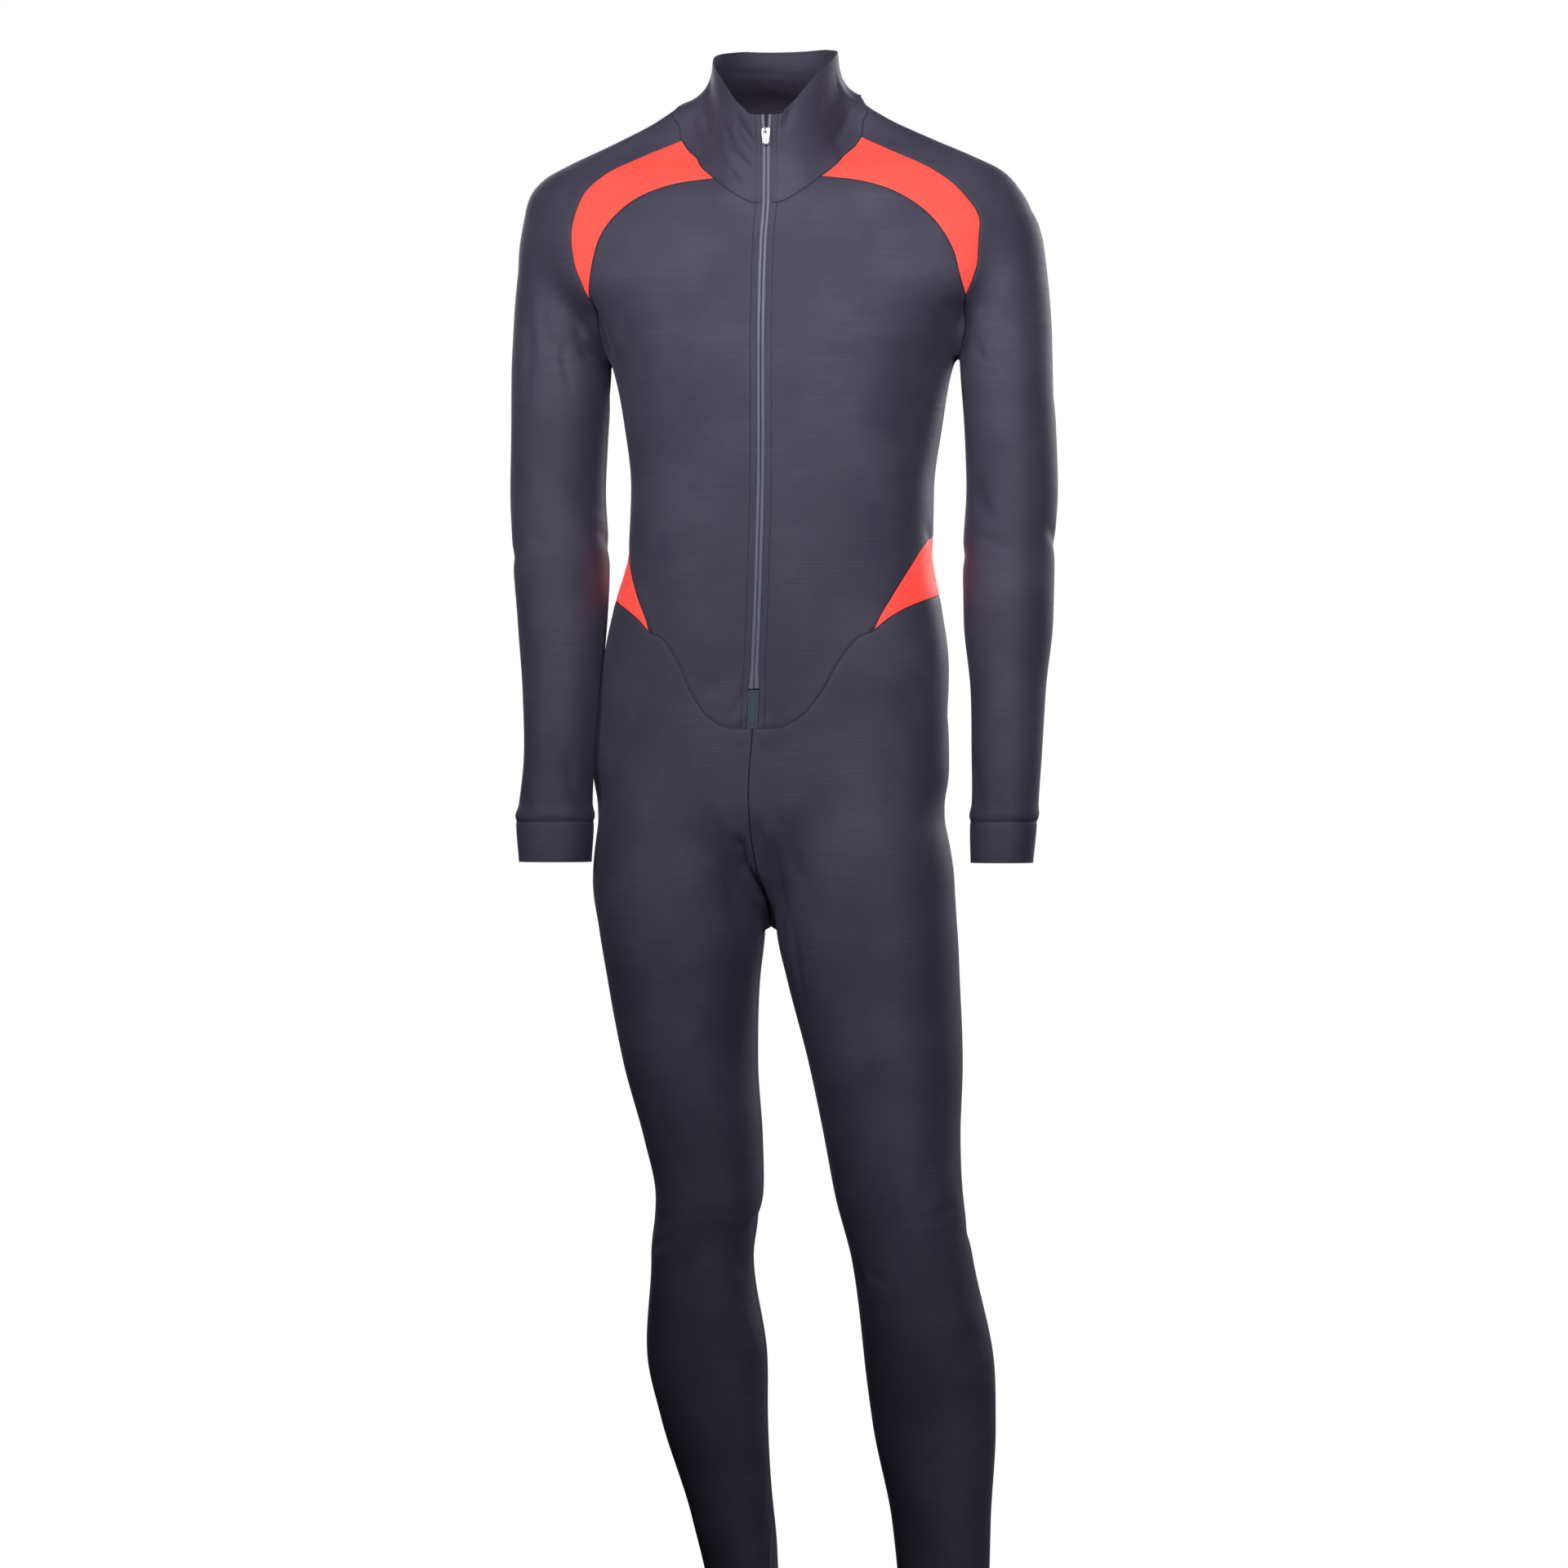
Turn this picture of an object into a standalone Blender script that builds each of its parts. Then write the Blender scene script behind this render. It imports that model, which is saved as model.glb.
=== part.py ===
"""Speed skating suit: a close-fitting one-piece suit with raglan sleeves and a front zip.

Metres, +Z up. The suit faces -Y and the wearer's left is +X. It keeps the hollow form and
pose that it has when worn. The origin is the middle of the neck opening, where the wearer's
shoulders hold it. All heights in the tables are above the wearer's floor.
"""

import math

import bmesh
import bpy
import numpy as np

# Driving sizes
HOLD_HEIGHT = 1.5475
CLOTH = 0.0015
SEAM_GAP = 0.0003
HEM_HEIGHT = 0.090
CUFF_SEAM_HEIGHT = 0.8795
CUFF_END_HEIGHT = 0.841
ARMHOLE_HEIGHT = 1.3625
UNDERARM_X = 0.1655
FORK_HEIGHT = 0.870
ZIP_BOTTOM_HEIGHT = 0.965
COIL_END_HEIGHT = 1.001
COIL_END_GAP = 0.0014
SLOT_WAIST_HEIGHT = 1.165

# How finely each seam and piece is divided
COLUMNS_V_BOTTOM = 5
ROWS_V_SIDE = 4
ROWS_WEDGE_HALF = 4
ROWS_SIDE_SEAM = 6
ROWS_ARMHOLE = 4
ROWS_RAGLAN = 8
COLUMNS_BACK_HALF = 6
COLUMNS_BAND = 3
COLUMNS_SLEEVE = 12
ROWS_SLEEVE = 17
ROWS_CUFF = 3
ROWS_FORK = 7
ROWS_LEG = 16
ROWS_COLLAR = 6
ROWS_WEDGE_DEPTH = 3
EDGES = ("first", "last", "top", "bottom")
DENSE = 240
RAY_STEP = 0.0012
SPECK = 1e-6

# The general figure that the suit is cut for, as level sections of its limbs.
# Columns: height, shift, middle, half width, front, back, squareness.
# Front and back are measured from the section's widest line, which lies at y = middle.
TORSO = (
    (1.6400, 0.0000, -0.0500, 0.0600, 0.0600, 0.0600, 2.0000),
    (1.6000, 0.0000, -0.0460, 0.0660, 0.0500, 0.0680, 2.0000),
    (1.5600, 0.0000, -0.0400, 0.0780, 0.0340, 0.0850, 2.0000),
    (1.5475, -0.0060, -0.0380, 0.0860, 0.0290, 0.0900, 2.0000),
    (1.5325, -0.0069, -0.0340, 0.1083, 0.0290, 0.0940, 2.0000),
    (1.5140, -0.0081, -0.0260, 0.1485, 0.0400, 0.0960, 2.0000),
    (1.4950, -0.0090, -0.0190, 0.1931, 0.0620, 0.0990, 2.0000),
    (1.4830, -0.0090, -0.0150, 0.2168, 0.0800, 0.1000, 2.0000),
    (1.4710, -0.0090, -0.0120, 0.2292, 0.0920, 0.1010, 2.0000),
    (1.4510, -0.0071, -0.0050, 0.2395, 0.1080, 0.1030, 2.0000),
    (1.4200, -0.0055, 0.0000, 0.2460, 0.1160, 0.1060, 2.0000),
    (1.4000, -0.0051, 0.0000, 0.2405, 0.1180, 0.1090, 2.0000),
    (1.3800, -0.0039, 0.0000, 0.2255, 0.1200, 0.1110, 2.1000),
    (1.3600, -0.0029, 0.0000, 0.2045, 0.1210, 0.1120, 2.2000),
    (1.3400, -0.0018, 0.0000, 0.1835, 0.1220, 0.1130, 2.3000),
    (1.3200, -0.0008, 0.0000, 0.1681, 0.1220, 0.1130, 2.4000),
    (1.3000, -0.0007, 0.0000, 0.1586, 0.1210, 0.1130, 2.4000),
    (1.2500, -0.0003, 0.0000, 0.1487, 0.1180, 0.1080, 2.4000),
    (1.1900, -0.0010, 0.0000, 0.1417, 0.1130, 0.0980, 2.4000),
    (1.1300, -0.0030, 0.0000, 0.1427, 0.1090, 0.0920, 2.4000),
    (1.0800, -0.0060, 0.0000, 0.1540, 0.1050, 0.0980, 2.3000),
    (1.0300, -0.0080, 0.0000, 0.1625, 0.1010, 0.1110, 2.3000),
    (0.9800, -0.0110, 0.0000, 0.1655, 0.0970, 0.1220, 2.2000),
    (0.9300, -0.0133, 0.0000, 0.1682, 0.0920, 0.1270, 2.2000),
    (0.8900, -0.0131, 0.0000, 0.1610, 0.0860, 0.1220, 2.2000),
    (0.8600, -0.0133, 0.0000, 0.1390, 0.0760, 0.1080, 2.2000),
    (0.8300, -0.0131, 0.0000, 0.0945, 0.0580, 0.0800, 2.1000),
    (0.8050, -0.0124, 0.0000, 0.0508, 0.0340, 0.0450, 2.0000),
)
TORSO_FLOOR = 0.805

# Columns: height, x, middle, half width, half depth. x is towards the arm's own side.
RIGHT_ARM = (
    (1.4400, 0.2040, 0.0000, 0.0360, 0.0500),
    (1.4000, 0.2095, 0.0000, 0.0440, 0.0540),
    (1.3430, 0.2131, 0.0000, 0.0454, 0.0550),
    (1.3000, 0.2135, 0.0000, 0.0470, 0.0550),
    (1.2300, 0.2157, 0.0000, 0.0455, 0.0510),
    (1.1900, 0.2168, 0.0000, 0.0451, 0.0490),
    (1.1300, 0.2123, -0.0070, 0.0455, 0.0500),
    (1.0670, 0.2090, -0.0160, 0.0420, 0.0480),
    (1.0000, 0.2076, -0.0260, 0.0365, 0.0420),
    (0.9400, 0.2083, -0.0330, 0.0332, 0.0370),
    (0.8950, 0.2110, -0.0360, 0.0347, 0.0340),
    (0.8795, 0.2118, -0.0360, 0.0367, 0.0340),
    (0.8410, 0.2115, -0.0360, 0.0342, 0.0330),
)
LEFT_ARM = (
    (1.4400, 0.1982, 0.0000, 0.0360, 0.0500),
    (1.4000, 0.2037, 0.0000, 0.0430, 0.0540),
    (1.3430, 0.2084, 0.0000, 0.0435, 0.0550),
    (1.3000, 0.2102, 0.0000, 0.0430, 0.0550),
    (1.2300, 0.2144, 0.0000, 0.0425, 0.0510),
    (1.1900, 0.2155, 0.0000, 0.0425, 0.0490),
    (1.1300, 0.2128, -0.0030, 0.0425, 0.0500),
    (1.0670, 0.2132, -0.0090, 0.0415, 0.0480),
    (1.0000, 0.2137, -0.0150, 0.0348, 0.0420),
    (0.9400, 0.2127, -0.0180, 0.0325, 0.0370),
    (0.8950, 0.2113, -0.0190, 0.0310, 0.0340),
    (0.8795, 0.2100, -0.0190, 0.0310, 0.0340),
    (0.8410, 0.2083, -0.0190, 0.0290, 0.0320),
)
ARM_TOP = 1.44
ARM_FREE_HEIGHT = 1.312
ARM_FADE = 1.0

# Columns: height, x, middle, half width, front, back. x is towards the leg's own side.
RIGHT_LEG = (
    (0.9500, 0.0940, 0.0000, 0.0500, 0.0700, 0.0850),
    (0.8700, 0.1010, 0.0000, 0.0760, 0.0860, 0.0980),
    (0.8200, 0.1003, 0.0000, 0.0808, 0.0880, 0.0960),
    (0.7756, 0.0971, 0.0000, 0.0776, 0.0870, 0.0920),
    (0.7300, 0.0956, 0.0000, 0.0713, 0.0840, 0.0870),
    (0.6536, 0.0889, -0.0010, 0.0630, 0.0770, 0.0780),
    (0.5800, 0.0760, -0.0030, 0.0553, 0.0680, 0.0660),
    (0.5310, 0.0702, -0.0040, 0.0504, 0.0630, 0.0580),
    (0.4697, 0.0774, -0.0020, 0.0480, 0.0550, 0.0560),
    (0.3778, 0.0747, 0.0060, 0.0566, 0.0520, 0.0640),
    (0.3165, 0.0684, 0.0100, 0.0504, 0.0460, 0.0580),
    (0.2245, 0.0514, 0.0140, 0.0390, 0.0390, 0.0460),
    (0.1500, 0.0375, 0.0140, 0.0357, 0.0370, 0.0430),
    (0.0900, 0.0310, 0.0120, 0.0357, 0.0400, 0.0450),
)
LEFT_LEG = (
    (0.9500, 0.0650, 0.0000, 0.0500, 0.0700, 0.0850),
    (0.8700, 0.0742, 0.0000, 0.0788, 0.0860, 0.0980),
    (0.8200, 0.0757, 0.0000, 0.0848, 0.0890, 0.0970),
    (0.7756, 0.0791, -0.0010, 0.0844, 0.0890, 0.0930),
    (0.7300, 0.0856, -0.0030, 0.0804, 0.0870, 0.0880),
    (0.6536, 0.0982, -0.0100, 0.0716, 0.0820, 0.0790),
    (0.5800, 0.1062, -0.0180, 0.0628, 0.0730, 0.0670),
    (0.5310, 0.1129, -0.0230, 0.0593, 0.0670, 0.0610),
    (0.4697, 0.1252, -0.0200, 0.0564, 0.0600, 0.0600),
    (0.3778, 0.1385, -0.0080, 0.0603, 0.0570, 0.0680),
    (0.3165, 0.1425, -0.0020, 0.0574, 0.0500, 0.0620),
    (0.2245, 0.1485, 0.0040, 0.0460, 0.0440, 0.0500),
    (0.1500, 0.1510, 0.0060, 0.0421, 0.0410, 0.0460),
    (0.0900, 0.1525, 0.0060, 0.0417, 0.0440, 0.0470),
)
LEG_TOP = 0.95

# How softly limbs run into each other
ARM_BLEND = 0.012
LEG_BLEND = 0.014

# Centre front and centre back: height, x
MIDLINE = (
    (1.6400, 0.0032),
    (1.4500, 0.0032),
    (1.4100, 0.0011),
    (1.2200, -0.0013),
    (1.0600, -0.0076),
    (1.0200, -0.0100),
    (0.9650, -0.0128),
    (0.9000, -0.0180),
    (0.8600, -0.0175),
    (0.7900, -0.0125),
)

# Neck seam: turn from the centre front in degrees about the neck, height
ZIP_TOP_X = 0.0032
NECK = (ZIP_TOP_X, -0.038)
NECK_SEAM = (
    (0.0, 1.4450),
    (9.0, 1.4462),
    (22.0, 1.4550),
    (37.7, 1.4706),
    (54.0, 1.4877),
    (75.4, 1.5120),
    (81.5, 1.5300),
    (88.0, 1.5440),
    (98.0, 1.5530),
    (112.0, 1.5562),
    (145.0, 1.5550),
    (180.0, 1.5520),
)
BAND_INNER_TURN = 37.7
BAND_OUTER_TURN = 75.4
RAGLAN_BACK_TURN = 132.0

# Seams on the front and back: height, x from the midline on the right side and on the left
BAND_INNER_EDGE = (
    (1.3625, 0.1714, 0.1805),
    (1.3830, 0.1683, 0.1758),
    (1.3994, 0.1651, 0.1718),
    (1.4228, 0.1572, 0.1590),
    (1.4458, 0.1366, 0.1340),
    (1.4602, 0.1093, 0.1063),
    (1.4672, 0.0823, 0.0790),
)
BAND_OUTER_EDGE = (
    (1.3625, 0.1714, 0.1805),
    (1.3780, 0.1775, 0.1875),
    (1.3963, 0.1849, 0.1920),
    (1.4272, 0.1894, 0.1926),
    (1.4575, 0.1808, 0.1752),
    (1.4790, 0.1597, 0.1480),
    (1.4970, 0.1250, 0.1110),
)
RAGLAN_BACK_EDGE = (
    (1.3625, 0.1730, 0.1790),
    (1.4000, 0.1820, 0.1850),
    (1.4350, 0.1780, 0.1800),
    (1.4700, 0.1560, 0.1560),
    (1.5020, 0.1200, 0.1200),
    (1.5300, 0.0880, 0.0880),
)

# Waist seams: turn from the centre front in degrees, height
SIDE_TURN = 100.0
V_BOTTOM_SEAM = (
    (14.0, 0.9660),
    (21.5, 0.9715),
    (27.0, 0.9800),
)
V_SIDE_SEAM = (
    (27.0, 0.9800),
    (33.0, 0.9980),
    (40.0, 1.0300),
    (48.0, 1.0515),
    (51.5, 1.0540),
)
WEDGE_UPPER_EDGE = (
    (51.5, 1.0540),
    (53.6, 1.0670),
    (57.0, 1.0810),
    (62.0, 1.0990),
    (69.0, 1.1180),
    (79.0, 1.1360),
    (100.0, 1.1476),
)
WEDGE_LOWER_EDGE = (
    (51.5, 1.0540),
    (57.8, 1.0670),
    (65.0, 1.0764),
    (78.0, 1.0856),
    (100.0, 1.0925),
)
BACK_WAIST_SEAM = (
    (148.5, 1.0540),
    (162.0, 1.0500),
    (180.0, 1.0480),
)

# Sleeve head: rings fan about this line from the armhole to the neck.
FAN_X = 0.120
FAN_HEIGHT = 1.345
FAN_SCALE = 0.12
# Columns: turn in degrees, distance of the ring's middle from the fan line, middle
FAN = (
    (0.0, 0.0880, 0.0),
    (30.0, 0.0980, 0.0),
    (60.0, 0.1150, -0.004),
    (90.0, 0.1350, -0.012),
    (110.0, 0.1450, -0.020),
)

# Collar: turn in degrees, top turn in degrees, top height, lean of the cloth at the neck seam
COLLAR = (
    (0.0, 0.0, 1.5262, 0.05),
    (13.0, 13.0, 1.5274, 0.08),
    (19.0, 19.0, 1.5325, 0.10),
    (28.0, 28.0, 1.5405, 0.15),
    (38.0, 38.0, 1.5515, 0.30),
    (48.0, 48.0, 1.5620, 0.60),
    (60.0, 60.0, 1.5720, 1.00),
    (75.0, 75.0, 1.5815, 1.90),
    (90.0, 90.0, 1.5890, 2.80),
    (119.0, 119.0, 1.5970, 2.40),
    (145.0, 145.0, 1.6005, 1.30),
    (180.0, 180.0, 1.6010, 0.70),
)
COLLAR_TOP_X = 0.0012
COLLAR_TOP_MIDDLE = -0.053
COLLAR_TOP_WIDTH = 0.0585
COLLAR_TOP_DEPTH = 0.0590
COLLAR_STAND = 1.5
COLLAR_PULL_TURN = 14.0

# Zip. Half slot: height, distance from the midline to the panel's edge
SLOT = (
    (0.9500, 0.0052),
    (1.0000, 0.0052),
    (1.0200, 0.0040),
    (1.4980, 0.0040),
    (1.5090, 0.0044),
    (1.5142, 0.0047),
    (1.5262, 0.0056),
)
COIL_WIDTH = 0.0034
COIL_PROUD = 0.0003
TAPE_REACH = 0.0050
TAPE_THICKNESS = 0.0009
TAPE_DEPTH = CLOTH + 0.0004
SLIDER_TOP_HEIGHT = 1.5142
SLIDER_LENGTH = 0.0146
SLIDER_WIDTH = 0.0078
SLIDER_NOSE_WIDTH = 0.0062
SLIDER_PLATE = 0.0012
SLIDER_THROAT = 0.0046
POST_WIDTH = 0.0010
POST_HEIGHT = 0.0034
POST_INSET = 0.0002
HINGE_HEIGHT = 1.5114
HINGE_GAP = 0.00105
RING_INNER = 0.00095
RING_OUTER = 0.00175
RING_WIDTH = 0.0016
TAB_LENGTH = 0.0135
TAB_WIDTH = 0.0074
TAB_NOSE_WIDTH = 0.0058
TAB_THICKNESS = 0.0011
TAB_BAR = 0.0012
WINDOW_WIDTH = 0.0028
WINDOW_HEIGHT = 0.0018

# Largest folds: a soft trough or ridge along a line.
# Columns: x and height at each end, facing (-1 front, 1 back), half width, depth (minus is a trough).
FOLDS = (
    (0.214, 1.358, 0.192, 1.342, -1, 0.006, -0.0022),
    (0.218, 1.325, 0.196, 1.290, -1, 0.007, -0.0020),
    (-0.214, 1.358, -0.194, 1.342, -1, 0.006, -0.0024),
    (-0.220, 1.322, -0.198, 1.280, -1, 0.007, -0.0022),
    (-0.030, 0.858, -0.018, 0.822, -1, 0.006, -0.0035),
    (0.002, 0.880, 0.012, 0.815, -1, 0.007, -0.0025),
    (0.015, 0.850, 0.022, 0.790, -1, 0.006, -0.0022),
    (0.150, 0.520, 0.100, 0.505, 1, 0.010, -0.0030),
    (-0.110, 0.500, -0.040, 0.492, 1, 0.010, -0.0026),
    (-0.050, 0.905, -0.110, 0.880, 1, 0.012, -0.0030),
    (0.030, 0.905, 0.090, 0.880, 1, 0.012, -0.0030),
)


def through(table):
    """Smooth curves through a table's columns, which never swing past its rows."""
    rows = np.array(sorted(table))
    at, values = rows[:, 0], rows[:, 1:]
    steps = np.diff(at)[:, None]
    slopes = np.diff(values, axis=0) / steps
    before, after = slopes[:-1], slopes[1:]
    turning = before * after <= 0
    safe_before, safe_after = np.where(turning, 1.0, before), np.where(turning, 1.0, after)
    near, far = 2 * steps[1:] + steps[:-1], steps[1:] + 2 * steps[:-1]
    level = np.where(turning, 0.0, (near + far) / (near / safe_before + far / safe_after))
    tangents = np.vstack([slopes[:1], level, slopes[-1:]])

    def read(where):
        where = np.clip(np.asarray(where, float), at[0], at[-1])
        row = np.clip(np.searchsorted(at, where, side="right") - 1, 0, len(at) - 2)
        width = steps[row]
        t = ((where - at[row]) / width[..., 0])[..., None]
        start = values[row] * (1 + 2 * t) * (1 - t) ** 2 + tangents[row] * width * t * (1 - t) ** 2
        end = values[row + 1] * t**2 * (3 - 2 * t) + tangents[row + 1] * width * t**2 * (t - 1)
        return start + end

    return read


torso_at = through(TORSO)
arm_at = {-1: through(RIGHT_ARM), 1: through(LEFT_ARM)}
leg_at = {-1: through(RIGHT_LEG), 1: through(LEFT_LEG)}
midline_at = through(MIDLINE)
slot_at = through(SLOT)
fan_at = through(FAN)
collar_at = through(COLLAR)
neck_seam_at = through(NECK_SEAM)


def midline(height):
    return midline_at(height)[..., 0]


def section_reach(dx, dy, half_width, front, back, squareness):
    """How far points lie outside a level section, measured from its middle."""
    depth = np.where(dy < 0, front, back)
    power = (np.abs(dx) / half_width) ** squareness + (np.abs(dy) / depth) ** squareness
    ratio = np.maximum(power ** (1 / squareness), SPECK)
    return (np.hypot(dx, dy) + SPECK) * (1 - 1 / ratio)


def blended(first, second, width):
    """The union of two fields, with a soft valley where they meet."""
    overlap = np.maximum(width - np.abs(first - second), 0) / width
    return np.minimum(first, second) - overlap**2 * width / 4


def arm(points, side):
    """Below zero inside one arm and above zero outside it."""
    height = points[..., 2]
    a = arm_at[side](height)
    dx, dy = side * points[..., 0] - a[..., 0], points[..., 1] - a[..., 1]
    field = section_reach(dx, dy, a[..., 2], a[..., 3], a[..., 3], 2.0)
    return field + 2 * np.maximum(height - ARM_TOP, 0)


def trunk(points):
    """Below zero inside the trunk and legs, and above zero outside them."""
    x, y, height = points[..., 0], points[..., 1], points[..., 2]
    t = torso_at(height)
    field = section_reach(x - t[..., 0], y - t[..., 1], t[..., 2], t[..., 3], t[..., 4], t[..., 5])
    field = field + 2 * np.maximum(TORSO_FLOOR - height, 0)
    for side in (-1, 1):
        g = leg_at[side](height)
        leg = section_reach(side * x - g[..., 0], y - g[..., 1], g[..., 2], g[..., 3], g[..., 4], 2.0)
        leg = leg + 2 * np.maximum(height - LEG_TOP, 0)
        field = blended(field, leg, LEG_BLEND)
    return field


def fading(height):
    """Keeps an arm and the trunk apart below the armpit."""
    return ARM_FADE * np.maximum(ARM_FREE_HEIGHT - height, 0)


def body(points):
    """The worn form as its trunk panels and legs see it."""
    field = trunk(points)
    for side in (-1, 1):
        field = blended(field, arm(points, side) + fading(points[..., 2]), ARM_BLEND)
    return field


def sleeved(side):
    """The worn form as one sleeve sees it."""

    def field(points):
        return blended(arm(points, side), trunk(points) + fading(points[..., 2]), ARM_BLEND)

    return field


def halved(side):
    """The worn form as one leg sees it, which ends at the body's middle."""

    def field(points):
        return np.maximum(body(points), side * (midline(points[..., 2]) - points[..., 0]))

    return field


def normals(points, field=body, step=0.002):
    """Outward directions of the worn form's surface."""
    gradient = np.empty_like(points)
    for axis in range(3):
        shift = np.zeros(3)
        shift[axis] = step
        gradient[..., axis] = field(points + shift) - field(points - shift)
    return gradient / np.linalg.norm(gradient, axis=-1, keepdims=True)


def cast(origin, direction, reach=0.34, surface=body):
    """Where rays from inside the form first reach its surface."""
    steps = np.arange(0.0, reach, RAY_STEP)
    field = surface(origin[..., None, :] + direction[..., None, :] * steps[:, None])
    first = np.argmax(field > 0, axis=-1)
    near, far = steps[np.maximum(first - 1, 0)], steps[first]
    for _ in range(20):
        middle = (near + far) / 2
        outside = surface(origin + direction * middle[..., None]) > 0
        far = np.where(outside, middle, far)
        near = np.where(outside, near, middle)
    return origin + direction * far[..., None]


def vectors(*parts):
    return np.stack(np.broadcast_arrays(*parts), axis=-1).astype(float)


def dense(rows):
    """Many places along a smooth curve through the rows."""
    rows = np.array(rows, float)
    lengths = np.linalg.norm(np.diff(rows, axis=0) / np.ptp(rows, axis=0).clip(1e-6), axis=1)
    at = np.concatenate([[0.0], np.cumsum(lengths)])
    return through(np.column_stack([at, rows]).tolist())(np.linspace(0, at[-1], DENSE))


def even(line, count):
    """count + 1 points at equal steps along a line of points."""
    lengths = np.concatenate([[0.0], np.cumsum(np.linalg.norm(np.diff(line, axis=0), axis=1))])
    at = np.linspace(0, lengths[-1], count + 1)
    return np.column_stack([np.interp(at, lengths, line[:, axis]) for axis in range(3)])


def joined(*lines):
    """Lines of points that follow each other, each sharing its first point with the last one's end."""
    return np.vstack([lines[0]] + [line[1:] for line in lines[1:]])


# Each limb has its own way of naming a place on the surface, and back.


def torso_rays(side, places):
    turn, height = places[..., 0], places[..., 1]
    centre = torso_at(height)[..., 0]
    return vectors(centre, 0 * height, height), vectors(side * np.sin(turn), -np.cos(turn), 0)


def torso_places(side, points):
    dx = side * (points[..., 0] - torso_at(points[..., 2])[..., 0])
    return vectors(np.arctan2(dx, -points[..., 1]), points[..., 2])


def leg_rays(side, places):
    turn, height = places[..., 0], places[..., 1]
    g = leg_at[side](height)
    return vectors(side * g[..., 0], g[..., 1], height), vectors(side * np.sin(turn), -np.cos(turn), 0)


def leg_places(side, points):
    g = leg_at[side](points[..., 2])
    turn = np.arctan2(side * points[..., 0] - g[..., 0], -(points[..., 1] - g[..., 1]))
    return vectors(turn, points[..., 2])


def sleeve_rays(side, places):
    turn, along = places[..., 0], places[..., 1]
    a = arm_at[side](FAN_HEIGHT + np.minimum(along, 0))
    fan = fan_at(np.degrees(np.maximum(along, 0) / FAN_SCALE))
    tilt = np.maximum(along, 0) / FAN_SCALE
    below = along < 0
    ring_x = np.where(below, a[..., 0], FAN_X + fan[..., 0] * np.cos(tilt))
    ring_y = np.where(below, a[..., 1], fan[..., 1])
    ring_h = np.where(below, FAN_HEIGHT + along, FAN_HEIGHT + fan[..., 0] * np.sin(tilt))
    out = np.sin(turn)
    direction = vectors(side * out * np.cos(tilt), -np.cos(turn), out * np.sin(tilt))
    return vectors(side * ring_x, ring_y, ring_h), direction


def sleeve_places(side, points):
    x, y, height = side * points[..., 0], points[..., 1], points[..., 2]
    tilt = np.arctan2(height - FAN_HEIGHT, x - FAN_X)
    fan = fan_at(np.degrees(np.maximum(tilt, 0)))
    a = arm_at[side](np.minimum(height, FAN_HEIGHT))
    below = height < FAN_HEIGHT
    out = np.where(below, x - a[..., 0], np.hypot(x - FAN_X, height - FAN_HEIGHT) - fan[..., 0])
    forward = -(y - np.where(below, a[..., 1], fan[..., 1]))
    along = np.where(below, height - FAN_HEIGHT, tilt * FAN_SCALE)
    return vectors(np.arctan2(out, forward), along)


TORSO_LIMB = (torso_rays, torso_places, 0.34)
LEG_LIMB = (leg_rays, leg_places, 0.21)
SLEEVE_LIMB = (sleeve_rays, sleeve_places, 0.12)

# Seams


def neck_line(side, start, end):
    """The neck seam between two turns about the neck, in degrees."""
    turn = np.linspace(start, end, DENSE)
    height = neck_seam_at(turn)[..., 0]
    origin = vectors(NECK[0], NECK[1], height)
    angle = np.radians(turn)
    return cast(origin, vectors(side * np.sin(angle), -np.cos(angle), 0))


def face_line(side, facing, table, last=None):
    """A seam through a table's rows on the front (-1) or back (1), ending at a point."""
    rows = [(right if side < 0 else left, height) for height, right, left in table]
    if last is not None:
        rows.append((side * (last[0] - midline(last[2])), last[2]))
    places = dense(rows)
    height = places[:, 1]
    origin = vectors(midline(height) + side * places[:, 0], 0, height)
    line = cast(origin, vectors(0, facing, 0 * height))
    if last is not None:
        line[-1] = last
    return line


def waist_line(side, rows, first=None):
    """A seam through rows of turn and height round the waist, starting at a point."""
    places = dense([(math.radians(turn), height) for turn, height in rows])
    if first is not None:
        start = torso_places(side, first)
        places = dense([start] + [(math.radians(turn), height) for turn, height in rows])
    origin, direction = torso_rays(side, places)
    return cast(origin, direction)


def armhole_line(side, front_x, back_x):
    """Half a turn under the arm, from the front of the armhole to its back."""
    turn = np.linspace(0, math.pi, 2 * DENSE)
    end_x = np.where(turn < math.pi / 2, front_x, back_x)
    x = UNDERARM_X + (end_x - UNDERARM_X) * np.cos(turn) ** 2
    origin = vectors(midline(ARMHOLE_HEIGHT) + side * x, 0, ARMHOLE_HEIGHT)
    line = cast(origin, vectors(0 * turn, -np.cos(turn), -np.sin(turn)))
    return line[:DENSE], line[DENSE - 1 :]


def fork_line():
    """Half a turn under the fork, from the centre front to the centre back."""
    turn = np.linspace(0, math.pi, 2 * DENSE)
    top, low = midline(FORK_HEIGHT), midline(0.79)
    origin = vectors(top + (low - top) * np.sin(turn), 0, FORK_HEIGHT)
    return cast(origin, vectors(0 * turn, -np.cos(turn), -np.sin(turn)))


def centre_line(facing, top, bottom):
    """The centre front (-1) or centre back (1) between two heights."""
    height = np.linspace(top, bottom, DENSE)
    return cast(vectors(midline(height), 0, height), vectors(0, facing, 0 * height))


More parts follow.
